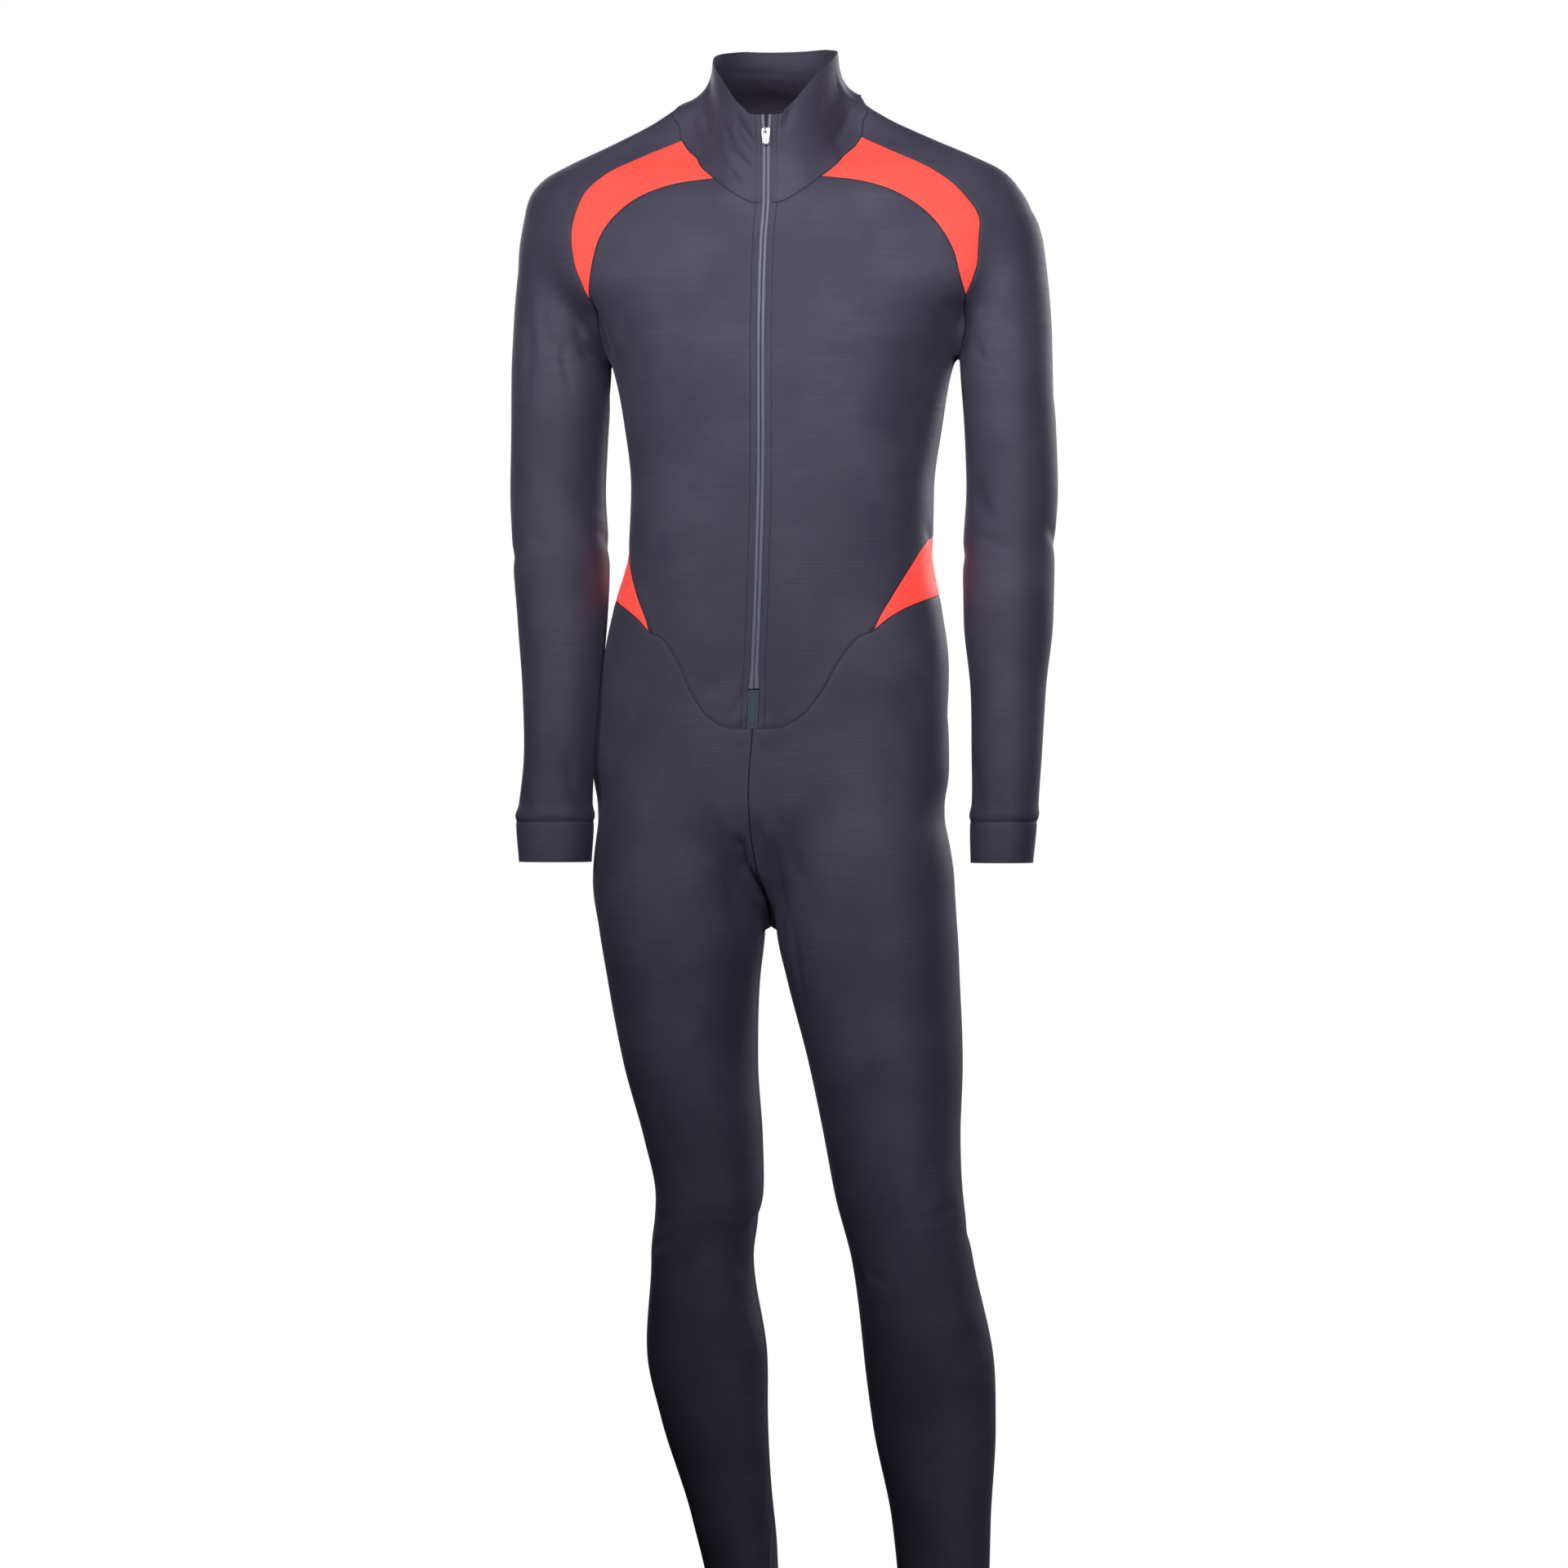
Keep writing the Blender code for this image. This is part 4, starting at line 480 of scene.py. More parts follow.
# Folds, in millimetres: a soft trough or ridge along a bowed line, seen from the front (F),
# back (B), the wearer's left (L) or right (R). On F and B the first number of a place is x, on
# L and R it is y. Columns: place and height at each end, half width, depth (minus is a
# trough), bow.
FOLDS = {
    "F": (
        # armpits and upper arms
        (-169.7, 1361.3, -157.8, 1315, 4.2, -5.3, -2.3),
        (-194.9, 1352.9, -179.2, 1336, 4.2, -2.6, -0.8),
        (-185.2, 1358.7, -172, 1343.3, 4.2, -2.4, 0),
        (-190.3, 1335.6, -178.6, 1311.9, 4.2, -2.6, -0.8),
        (-200.1, 1323.1, -192.4, 1283.9, 4.2, -2.4, -2.3),
        (-195.1, 1344.6, -183, 1320.8, 4.2, 1.8, -0.8),
        (-235.6, 1351.6, -238, 1269.1, 6.5, -1.4, 2.3),
        (-220.1, 1355.3, -207.4, 1319.9, 4.9, -1.4, -1.5),
        (-227.7, 1372.5, -218.6, 1304, 5.7, 1, -1.5),
        (179.4, 1355.7, 170, 1330.5, 4.2, -4.6, 1.5),
        (182.1, 1341.8, 208.5, 1367.5, 4.2, -2.6, -3.7),
        (184.3, 1350.4, 198.6, 1360.2, 4.2, -1.8, -1.5),
        (185.4, 1329.6, 195, 1305.5, 4.2, -1.8, -1.5),
        (164.8, 1354.4, 169.1, 1333.1, 4.2, -1.8, 0.8),
        (-149.2, 1358.2, -142.2, 1330, 4.2, -1.6, -0.8),
        (215.2, 1349.4, 223, 1284.5, 7.2, -1, -2.3),
        (-173.5, 1356, -164, 1301, 9.5, -5, -2),
        (-160, 1345, -153, 1308, 5, -2.2, -1),
        (-148, 1352, -140, 1315, 5.5, 1.4, -1),
        (174.5, 1356, 169, 1306, 8.5, -4, 1.8),
        (156, 1347, 160, 1313, 5, -1.8, 1),
        # elbows and lower sleeves
        (184.4, 1198.5, 203.6, 1153.9, 8.1, -2.1, -3),
        (191.5, 1143.2, 222, 1130.9, 6.5, -1.4, -1.5),
        (175.1, 1112.6, 187.4, 1072.8, 6.5, 1.4, -1.5),
        (-194, 1189.2, -165.9, 1167.9, 7.2, -1.6, 1.5),
        (-238.4, 1158.4, -218, 1137.2, 7.2, -1.2, -1.5),
        (-182.9, 1112.9, -169.5, 1081.1, 6.5, -1.2, -1.5),
        (-193.5, 940.9, -178.4, 883.3, 5.7, -1.6, -2.3),
        (-239.1, 914, -225.6, 881, 5.7, -1, -1.5),
        (186.1, 933.1, 194.7, 883.4, 4.9, -1.2, -1.5),
        (212.8, 902.5, 229.7, 883.5, 4.9, 1, 0),
        # zip end and V seam
        (-31.2, 977.1, -20.1, 998, 4.2, -1.8, -0.8),
        (-25.8, 971.1, -18.1, 983, 4.2, 0.9, 0),
        (-3, 971, 4.8, 984.5, 4.2, -0.9, 0),
        (-25.3, 955.3, -19.2, 959.8, 4.2, 1.2, 0),
        (-4.7, 959, 2.2, 955.3, 4.2, 1.2, 0),
        (-53.3, 996.7, -43.8, 1005.6, 4.2, -0.7, 0),
        (16.9, 979.9, 23, 988.9, 4.2, -0.7, 0),
        # fork
        (-30.3, 862.7, -25.9, 836.9, 4.2, -7.4, 1.5),
        (-26.5, 838.4, -10.4, 791.7, 4.2, -9.1, 3),
        (-9.8, 879.4, -2.1, 830.8, 4.2, -4, -1.5),
        (-1.9, 832.3, 6.7, 777.6, 4.2, -3, -1.5),
        (1.2, 861.3, 11.3, 793, 4.2, -4, -1.5),
        (-4.8, 876.4, 3.8, 820.1, 4.2, 1.8, -1.5),
        (19, 788.7, 30.6, 707.1, 4.2, -1.8, -1.5),
        (-42.2, 838.4, -33.6, 785, 6.5, -2.6, 1.5),
        (-46.2, 891.4, -32.3, 865.7, 5.7, 1, -1.5),
        (13.1, 883.9, 32.4, 816.2, 7.2, -1.5, -3),
        # knees and shins
        (162.3, 558.3, 154.7, 521.2, 6.5, 1.6, -1.5),
        (155.5, 516.7, 169.9, 525.1, 4.9, -1.2, 1.5),
        (109.7, 448.7, 96.5, 429.2, 4.2, 1.8, -0.8),
        (116.6, 444.4, 103, 423.6, 4.2, -1.8, -0.8),
        (89.4, 465.5, 104.3, 457.5, 4.9, -1.4, 0),
        (168.9, 463.3, 181.1, 417.2, 7.2, 1.2, -1.5),
        (-98.9, 491.3, -114.4, 479.7, 4.2, -1.6, -0.8),
        (-100.7, 478.3, -117.8, 470, 4.2, 1.4, -0.8),
        (-93.2, 511.7, -112.5, 502.1, 4.9, -1, -0.8),
        (-37.1, 472.1, -28.6, 452.7, 5.7, -1.6, -1.5),
        (-32.5, 426, -21.6, 386.2, 4.9, 1.4, -1.5),
        (171.6, 536.9, 174.1, 511.9, 4.2, 2.4, 0),
        (78.2, 468.6, 82.7, 446, 4.2, -2.1, 0),
    ),
    "B": (
        # back of the armpits, waist, seat, elbows and knees
        (-185, 1364, -165, 1325, 5.4, -3.9, 3),
        (-198, 1350, -182, 1320, 4.3, -2.3, 1),
        (190, 1366, 170, 1318, 5.4, -4.2, -3),
        (205, 1354, 186, 1326, 4.3, -2.1, -1),
        (150, 1356, 125, 1390, 8.6, -1.8, 4),
        (-148, 1350, -130, 1380, 8.6, -1.8, -3),
        (-90, 1162, 15, 1154, 8.6, -2.1, 5),
        (-30, 1142, 85, 1148, 7.6, -1.8, -4),
        (-102, 1125, -35, 1118, 7.6, 1.4, 3),
        (-50, 905, -110, 880, 11.9, -4.6, 6),
        (30, 905, 90, 880, 11.9, -4.6, -6),
        (-30, 860, -70, 838, 7.6, -2.4, 2),
        (22, 856, 56, 836, 7.6, -2.1, -2),
        (-18, 950, -20, 860, 6.5, -2.4, 2),
        (150, 520, 100, 505, 9.7, -4.2, 4),
        (152, 496, 112, 486, 7.6, -2.6, 2),
        (110, 542, 80, 530, 7.6, -2.1, 0),
        (-110, 500, -40, 492, 9.7, -3.9, 4),
        (-106, 526, -62, 520, 7.6, -2.4, -2),
        (-72, 470, -42, 466, 7.6, -1.9, 0),
        (234, 1160, 200, 1145, 7.6, -1.8, 2),
        (232, 1130, 205, 1124, 6.5, -1.4, 0),
        (-235, 1150, -200, 1135, 7.6, -1.9, -2),
        (-230, 1120, -204, 1112, 6.5, -1.4, 0),
        (135, 170, 170, 162, 6.5, -1.4, 1),
        (-48, 166, -15, 156, 6.5, -1.6, 1),
    ),
    "L": (
        # outer and inner sides
        (30, 1330, 5, 1270, 8.6, -1.4, 4),
        (-25, 1150, 15, 1130, 8.6, -1.8, 2),
        (40, 1030, 10, 970, 11.9, -1.4, 6),
        (20, 520, -20, 495, 8.6, -1.9, 2),
    ),
    "R": (
        (25, 1320, 0, 1260, 8.6, -1.4, -4),
        (-30, 1130, 15, 1115, 8.6, -1.6, 2),
        (45, 1020, 15, 965, 11.9, -1.4, 6),
        (30, 530, -10, 505, 8.6, -1.8, -2),
    ),
}
COLLAR_FOLDS = {
    "F": (
        (-25, 1525.2, -8.3, 1499.7, 2.6, -2.3, -1),
        (-26.5, 1517.7, -11.3, 1493.7, 2.6, -1.4, -1),
        (-22.7, 1519.2, -9.8, 1498.2, 2.6, 1.2, -1),
        (-38.7, 1520.7, -28.1, 1499.7, 2.8, -1.2, -1),
        (-35.7, 1499.7, -14.4, 1480.2, 2.6, -1.2, -1),
        (-25, 1493.7, -12.8, 1478.7, 2.6, -1.2, 0),
        (-31.1, 1475.7, -17.4, 1460.8, 2.6, -0.9, 0),
        (-37.2, 1496.7, -18.9, 1466.8, 2.6, 0.8, -1),
        (-63.8, 1537.2, -50.7, 1508.7, 3.7, -1.9, -2),
        (-70, 1532, -57, 1504, 3.7, 1, -2),
        (24.3, 1526.7, 18.5, 1514.7, 3.7, -1.9, 0),
        (29.7, 1535.7, 22.6, 1526.7, 2.8, -1.4, 0),
        (60.4, 1508.7, 55.2, 1501.2, 2.8, -0.9, 0),
        (71.4, 1538.7, 60.2, 1507.2, 3.7, -1.9, 2),
        (77, 1533, 66, 1503, 3.7, 1, 2),
    ),
    "B": (
        (40, 1565, -25, 1572, 4.3, -1.2, 3),
        (-50, 1580, -5, 1583, 3.2, 0.9, 0),
        (15, 1560, 50, 1590, 3.8, -0.9, 2),
    ),
}


def smooth_run(t, start, leaving, end, arriving):
    """A smooth run from start to end, as t goes from 0 to 1, with its slope at both ends."""
    first = start * (1 + 2 * t) * (1 - t) ** 2 + leaving * t * (1 - t) ** 2
    second = end * t**2 * (3 - 2 * t) + arriving * t**2 * (t - 1)
    return first + second


def through(table):
    """Smooth curves through a table's columns, which never swing past its rows."""
    rows = np.array(sorted(table))
    at, values = rows[:, 0], rows[:, 1:]
    steps = np.diff(at)[:, None]
    slopes = np.diff(values, axis=0) / steps
    before, after = slopes[:-1], slopes[1:]
    turning = before * after <= 0
    safe_before, safe_after = np.where(turning, 1.0, before), np.where(turning, 1.0, after)
    near, far = 2 * steps[1:] + steps[:-1], steps[1:] + 2 * steps[:-1]
    level = np.where(turning, 0.0, (near + far) / (near / safe_before + far / safe_after))
    tangents = np.vstack([slopes[:1], level, slopes[-1:]])

    def read(where):
        where = np.clip(np.asarray(where, float), at[0], at[-1])
        row = np.clip(np.searchsorted(at, where, side="right") - 1, 0, len(at) - 2)
        width = steps[row]
        t = ((where - at[row]) / width[..., 0])[..., None]
        leaving, arriving = tangents[row] * width, tangents[row + 1] * width
        return smooth_run(t, values[row], leaving, values[row + 1], arriving)

    return read


torso_at = through(TORSO)
arm_at = {-1: through(RIGHT_ARM), 1: through(LEFT_ARM)}
leg_at = {-1: through(RIGHT_LEG), 1: through(LEFT_LEG)}
midline_at = through(MIDLINE)
slot_at = through(SLOT)
fan_at = through(FAN)
collar_at = through(COLLAR)
neck_seam_at = through(NECK_SEAM)


def midline(height):
    return midline_at(height)[..., 0]


def section_reach(dx, dy, half_width, front, back, squareness):
    """How far points lie outside a level section, measured from its middle."""
    depth = np.where(dy < 0, front, back)
    power = (np.abs(dx) / half_width) ** squareness + (np.abs(dy) / depth) ** squareness
    ratio = np.maximum(power ** (1 / squareness), SPECK)
    return (np.hypot(dx, dy) + SPECK) * (1 - 1 / ratio)


def blended(first, second, width):
    """The union of two fields, with a soft valley where they meet."""
    overlap = np.maximum(width - np.abs(first - second), 0) / width
    return np.minimum(first, second) - overlap**2 * width / 4


def arm(points, side):
    """Below zero inside one arm and above zero outside it."""
    height = points[..., 2]
    a = arm_at[side](height)
    dx, dy = side * points[..., 0] - a[..., 0], points[..., 1] - a[..., 1]
    field = section_reach(dx, dy, a[..., 2], a[..., 3], a[..., 3], 2.0)
    return field + END_SLOPE * np.maximum(height - ARM_TOP, 0)


def trunk(points):
    """Below zero inside the trunk and legs, and above zero outside them."""
    x, y, height = points[..., 0], points[..., 1], points[..., 2]
    t = torso_at(height)
    field = section_reach(x - t[..., 0], y - t[..., 1], t[..., 2], t[..., 3], t[..., 4], t[..., 5])
    field = field + END_SLOPE * np.maximum(TORSO_FLOOR - height, 0)
    for side in (-1, 1):
        g = leg_at[side](height)
        leg = section_reach(side * x - g[..., 0], y - g[..., 1], g[..., 2], g[..., 3], g[..., 4], 2.0)
        leg = leg + END_SLOPE * np.maximum(height - LEG_TOP, 0)
        field = blended(field, leg, LEG_BLEND)
    return field


def fading(height):
    """Keeps an arm and the trunk apart below the armpit."""
    return ARM_FADE * np.maximum(ARM_FREE_HEIGHT - height, 0)


def body(points):
    """The worn form as its trunk panels and legs see it."""
    field = trunk(points)
    for side in (-1, 1):
        field = blended(field, arm(points, side) + fading(points[..., 2]), ARM_BLEND)
    return field


def sleeved(side):
    """The worn form as one sleeve sees it."""

    def field(points):
        return blended(arm(points, side), trunk(points) + fading(points[..., 2]), ARM_BLEND)

    return field


def halved(side):
    """The worn form as one leg sees it, which ends at the body's middle."""

    def field(points):
        return np.maximum(body(points), side * (midline(points[..., 2]) - points[..., 0]))

    return field


def unit(directions):
    """The same directions at length 1."""
    return directions / np.maximum(np.linalg.norm(directions, axis=-1, keepdims=True), SPECK**2)


def normals(points, field=body):
    """Outward directions of the worn form's surface."""
    gradient = np.empty_like(points)
    for axis in range(3):
        shift = np.zeros(3)
        shift[axis] = NORMAL_STEP
        gradient[..., axis] = field(points + shift) - field(points - shift)
    return unit(gradient)


def cast(origin, direction, reach=TORSO_REACH, surface=body):
    """Where rays from inside the form first reach its surface."""
    origin, direction = np.broadcast_arrays(origin, direction)
    start, aim = origin.reshape(-1, 3), direction.reshape(-1, 3)
    near, far = np.zeros(len(start)), np.zeros(len(start))
    active = np.arange(len(start))
    for _ in range(RAY_STEPS):
        field = surface(start[active] + aim[active] * far[active, None])
        active = active[field <= 0]
        if not len(active):
            break
        near[active] = far[active]
        step = np.clip(-RAY_SHARE * field[field <= 0], RAY_SHORTEST, RAY_LONGEST)
        far[active] = np.minimum(far[active] + step, reach)
    for _ in range(RAY_HALVINGS):
        middle = (near + far) / 2
        outside = surface(start + aim * middle[:, None]) > 0
        near, far = np.where(outside, near, middle), np.where(outside, middle, far)
    return (start + aim * far[:, None]).reshape(origin.shape)


def vectors(*parts):
    return np.stack(np.broadcast_arrays(*parts), axis=-1).astype(float)


def lengths_along(line, scale=1.0):
    """How far each point of a line lies along it."""
    steps = np.diff(line, axis=0) / scale
    return np.concatenate([[0.0], np.cumsum(np.linalg.norm(steps, axis=1))])


def read_along(places, lengths, values):
    """Rows of values, which belong to the points of a line, read at places along it."""
    return np.column_stack([np.interp(places, lengths, column) for column in values.T])


def dense(rows):
    """Many places along a smooth curve through the rows."""
    rows = np.array(rows, float)
    at = lengths_along(rows, np.ptp(rows, axis=0).clip(SPECK))
    return through(np.column_stack([at, rows]).tolist())(np.linspace(0, at[-1], DENSE))


def even(line, count, values=None):
    """count + 1 points at equal steps along a line of points, or the values that belong there."""
    lengths = lengths_along(line)
    at = np.linspace(0, lengths[-1], count + 1)
    return read_along(at, lengths, line if values is None else values)


def joined(*lines):
    """Lines of points that follow each other, each sharing its first point with the last one's end."""
    return np.vstack([lines[0]] + [line[1:] for line in lines[1:]])


# Each limb has its own way of naming a place on the surface, and back.


def torso_rays(side, places):
    turn, height = places[..., 0], places[..., 1]
    centre = torso_at(height)[..., 0]
    return vectors(centre, 0 * height, height), vectors(side * np.sin(turn), -np.cos(turn), 0)


def torso_places(side, points):
    dx = side * (points[..., 0] - torso_at(points[..., 2])[..., 0])
    return vectors(np.arctan2(dx, -points[..., 1]), points[..., 2])


def leg_rays(side, places):
    turn, height = places[..., 0], places[..., 1]
    g = leg_at[side](height)
    return vectors(side * g[..., 0], g[..., 1], height), vectors(side * np.sin(turn), -np.cos(turn), 0)


def leg_places(side, points):
    g = leg_at[side](points[..., 2])
    turn = np.arctan2(side * points[..., 0] - g[..., 0], -(points[..., 1] - g[..., 1]))
    return vectors(turn, points[..., 2])


def sleeve_rays(side, places):
    turn, along = places[..., 0], places[..., 1]
    a = arm_at[side](FAN_HEIGHT + np.minimum(along, 0))
    fan = fan_at(np.degrees(np.maximum(along, 0) / FAN_SCALE))
    tilt = np.maximum(along, 0) / FAN_SCALE
    below = along < 0
    ring_x = np.where(below, a[..., 0], FAN_X + fan[..., 0] * np.cos(tilt))
    ring_y = np.where(below, a[..., 1], fan[..., 1])
    ring_h = np.where(below, FAN_HEIGHT + along, FAN_HEIGHT + fan[..., 0] * np.sin(tilt))
    out = np.sin(turn)
    direction = vectors(side * out * np.cos(tilt), -np.cos(turn), out * np.sin(tilt))
    return vectors(side * ring_x, ring_y, ring_h), direction


def sleeve_places(side, points):
    x, y, height = side * points[..., 0], points[..., 1], points[..., 2]
    tilt = np.arctan2(height - FAN_HEIGHT, x - FAN_X)
    fan = fan_at(np.degrees(np.maximum(tilt, 0)))
    a = arm_at[side](np.minimum(height, FAN_HEIGHT))
    below = height < FAN_HEIGHT
    out = np.where(below, x - a[..., 0], np.hypot(x - FAN_X, height - FAN_HEIGHT) - fan[..., 0])
    forward = -(y - np.where(below, a[..., 1], fan[..., 1]))
    along = np.where(below, height - FAN_HEIGHT, tilt * FAN_SCALE)
    return vectors(np.arctan2(out, forward), along)


TORSO_LIMB = (torso_rays, torso_places, TORSO_REACH)
LEG_LIMB = (leg_rays, leg_places, LEG_REACH)
SLEEVE_LIMB = (sleeve_rays, sleeve_places, SLEEVE_REACH)

# Seams


def neck_line(side, start, end):
    """The neck seam between two turns about the neck, in degrees."""
    turn = np.linspace(start, end, DENSE)
    angle = np.radians(turn)
    origin = vectors(*NECK, neck_seam_at(turn)[..., 0])
    return cast(origin, vectors(side * np.sin(angle), -np.cos(angle), 0))


def face_line(side, facing, table, last):
    """A seam through a table's rows on the front (-1) or back (1), ending at a point."""
    rows = [(right if side < 0 else left, height) for height, right, left in table]
    rows.append((side * (last[0] - midline(last[2])), last[2]))
    places = dense(rows)
    height = places[:, 1]
    origin = vectors(midline(height) + side * places[:, 0], 0, height)
    line = cast(origin, vectors(0, facing, 0 * height))
    line[-1] = last
    return line


def waist_line(side, rows, first=None):
    """A seam through rows of turn and height round the waist, starting at a point."""
    start = [] if first is None else [torso_places(side, first)]
    places = dense(start + [(math.radians(turn), height) for turn, height in rows])
    return cast(*torso_rays(side, places))


def armhole_line(side, front_x, back_x):
    """Half a turn under the arm, from the front of the armhole to its back."""
    turn = np.linspace(0, math.pi, 2 * DENSE)
    end_x = np.where(turn < math.pi / 2, front_x, back_x)
    x = UNDERARM_X + (end_x - UNDERARM_X) * np.cos(turn) ** 2
    origin = vectors(midline(ARMHOLE_HEIGHT) + side * x, 0, ARMHOLE_HEIGHT)
    line = cast(origin, vectors(0 * turn, -np.cos(turn), -np.sin(turn)))
    return line[:DENSE], line[DENSE - 1 :]


def fork_line():
    """Half a turn under the fork, from the centre front to the centre back."""
    turn = np.linspace(0, math.pi, 2 * DENSE)
    top, low = midline(FORK_HEIGHT), midline(FORK_LOW_HEIGHT)
    origin = vectors(top + (low - top) * np.sin(turn), 0, FORK_HEIGHT)
    return cast(origin, vectors(0 * turn, -np.cos(turn), -np.sin(turn)))


def centre_line(facing, top, bottom):
    """The centre front (-1) or centre back (1) between two heights."""
    height = np.linspace(top, bottom, DENSE)
    return cast(vectors(midline(height), 0, height), vectors(0, facing, 0 * height))


def slot_line(side):
    """The edge of the zip slot on the body, from the neck seam down."""
    turns = neck_line(side, 0.0, SLOT_TURN)
    reach = side * (turns[:, 0] - ZIP_TOP_X)
    neck = turns[np.argmin(np.abs(reach - slot_at(turns[:, 2])[:, 0]))]
    height = np.linspace(neck[2], ZIP_BOTTOM_HEIGHT, 2 * DENSE)
    x = midline(height) + side * slot_at(height)[..., 0]
    line = cast(vectors(x, 0, height), vectors(0, -1, 0 * height))
    line[0] = neck
    return line


def turned_back(table):
    """A waist seam's rows, mirrored about the side, for the back."""
    return [(2 * SIDE_TURN - turn, height) for turn, height in table[::-1]]


def side_seams(side):
    """Every seam of one side, as lines of points that neighbouring pieces share."""
    slot = slot_line(side)
    slot_turn = math.degrees(math.atan2(side * (slot[0][0] - NECK[0]), NECK[1] - slot[0][1]))
    turns = (slot_turn, BAND_INNER_TURN, BAND_OUTER_TURN, RAGLAN_BACK_TURN, 180.0)
    counts = (COLUMNS_V_BOTTOM, COLUMNS_BAND, COLUMNS_SLEEVE, COLUMNS_BACK_HALF)
    seams = {}
    for name, start, end, count in zip(NECK_SEAMS, turns, turns[1:], counts):
        seams[name] = even(neck_line(side, start, end), count)

    for name, facing, table, corner in (
        ("band_inner", -1, BAND_INNER_EDGE, seams["neck_band"][0]),
        ("band_outer", -1, BAND_OUTER_EDGE, seams["neck_band"][-1]),
        ("raglan_back", 1, RAGLAN_BACK_EDGE, seams["neck_back"][0]),
    ):
        seams[name] = even(face_line(side, facing, table, corner), ROWS_RAGLAN)

    own = 1 if side < 0 else 2
    front_x, back_x = BAND_INNER_EDGE[0][own], RAGLAN_BACK_EDGE[0][own]
    armhole_front, armhole_back = armhole_line(side, front_x, back_x)
    armhole_front[0] = seams["band_inner"][0]
    armhole_back[-1] = seams["raglan_back"][0]
    seams["armhole_front"] = even(armhole_front, ROWS_ARMHOLE)
    seams["armhole_back"] = even(armhole_back, ROWS_ARMHOLE)
    underarm = seams["armhole_front"][-1]
    seams["armhole_back"][0] = underarm

    under_turn, under_height = torso_places(side, underarm)
    side_rows = ((math.degrees(under_turn), under_height), *SIDE_SEAM)
    for name, rows, count in (
        ("side", side_rows, ROWS_SIDE_SEAM),
        ("v_side", V_SIDE_SEAM, ROWS_V_SIDE),
        ("wedge_upper", WEDGE_UPPER_EDGE, ROWS_WEDGE_HALF),
        ("wedge_lower", WEDGE_LOWER_EDGE, ROWS_WEDGE_HALF),
        ("wedge_upper_back", turned_back(WEDGE_UPPER_EDGE), ROWS_WEDGE_HALF),
        ("wedge_lower_back", turned_back(WEDGE_LOWER_EDGE), ROWS_WEDGE_HALF),
        ("waist_back", BACK_WAIST_SEAM, COLUMNS_BACK_HALF),
    ):
        seams[name] = even(waist_line(side, rows), count)
    seams["side"][0] = underarm
    seams["v_bottom"] = even(waist_line(side, V_BOTTOM_SEAM, slot[-1]), COLUMNS_V_BOTTOM)
    seams["v_bottom"][0] = slot[-1]

    above, below = slot[slot[:, 2] >= SLOT_WAIST_HEIGHT], slot[slot[:, 2] <= SLOT_WAIST_HEIGHT]
    seams["slot"] = joined(
        even(above, ROWS_RAGLAN + ROWS_ARMHOLE + ROWS_SIDE_SEAM),
        even(np.vstack([above[-1:], below]), ROWS_WEDGE_HALF + ROWS_V_SIDE),
    )
    return seams


# Panels


def spanned(first, last, top, bottom):
    """Places between four edges that share their corners: rows run from top to bottom."""
    v = np.linspace(0, 1, len(first))[:, None, None]
    u = np.linspace(0, 1, len(top))[None, :, None]
    across = first[:, None] * (1 - u) + last[:, None] * u
    down = top[None] * (1 - v) + bottom[None] * v
    corners = (first[0] * (1 - u) + last[0] * u) * (1 - v) + (first[-1] * (1 - u) + last[-1] * u) * v
    return across + down - corners


def panel(limb, side, first, last, top, bottom, surface=body):
    """A grid of surface points between four seams. Turns run up from the first edge to the last."""
    rays, places_of, reach = limb
    edges = [places_of(side, edge) for edge in (first, last, top, bottom)]
    edges[1][:, 0] = np.where(edges[1][:, 0] < 0, edges[1][:, 0] + 2 * math.pi, edges[1][:, 0])
    for edge in edges[2:]:
        edge[:, 0] = np.unwrap(edge[:, 0])
    grid = cast(*rays(side, spanned(*edges)), reach, surface)
    grid[:, 0], grid[:, -1], grid[0], grid[-1] = first, last, top, bottom
    return grid


def bell(distance, width):
    """1 at no distance, and softly down to nothing past the width."""
    return np.exp(-((distance / width) ** 2))


def fold_depth(points, directions, folds=FOLDS):
    """How far the folds move the cloth out (plus) or in (minus)."""
    depth = np.zeros(points.shape[:-1])
    for facing, row in [(facing, row) for facing, rows in folds.items() for row in rows]:
        a0, h0, a1, h1, width, amount, bow = np.array(row) / 1000
        across = 0 if facing in "FB" else 1
        faces = (1 if facing in "BL" else -1) * directions[..., 1 - across]
        along = np.array([a1 - a0, h1 - h0])
        length = np.linalg.norm(along)
        aside = np.array([-along[1], along[0]]) / length
        place = points[..., [across, 2]] - np.array([a0, h0])
        run = place @ along / length**2
        t = np.clip(run, 0, 1)
        away = np.hypot((run - t) * length, place @ aside - bow * 4 * t * (1 - t))
        shown = np.clip((faces - FOLD_FACING) * FOLD_FADE, 0, 1)
        depth += amount * shown * bell(away, width) * (1 - (2 * t - 1) ** 4 * FOLD_TAPER)
    return depth


def seen_from(grid, edge):
    """The same grid, turned so that the named edge is its first column."""
    turned = grid.swapaxes(0, 1) if edge in ("top", "bottom") else grid
    return turned if edge in ("first", "top") else turned[:, ::-1]


def drawn_in(grid, out, edges, gap=SEAM_GAP / 2):
    """The grid with the named edges moved in along the cloth, by half the seam gap."""
    moved = grid.copy()
    for name in edges:
        edge, inner = seen_from(grid, name)[:, 0], seen_from(grid, name)[:, 1]
        inward = np.cross(seen_from(out, name)[:, 0], unit(np.gradient(edge, axis=0)))
        inward *= np.sign((inward * (inner - edge)).sum())
        seen_from(moved, name)[:, 0] += inward * gap
    return moved


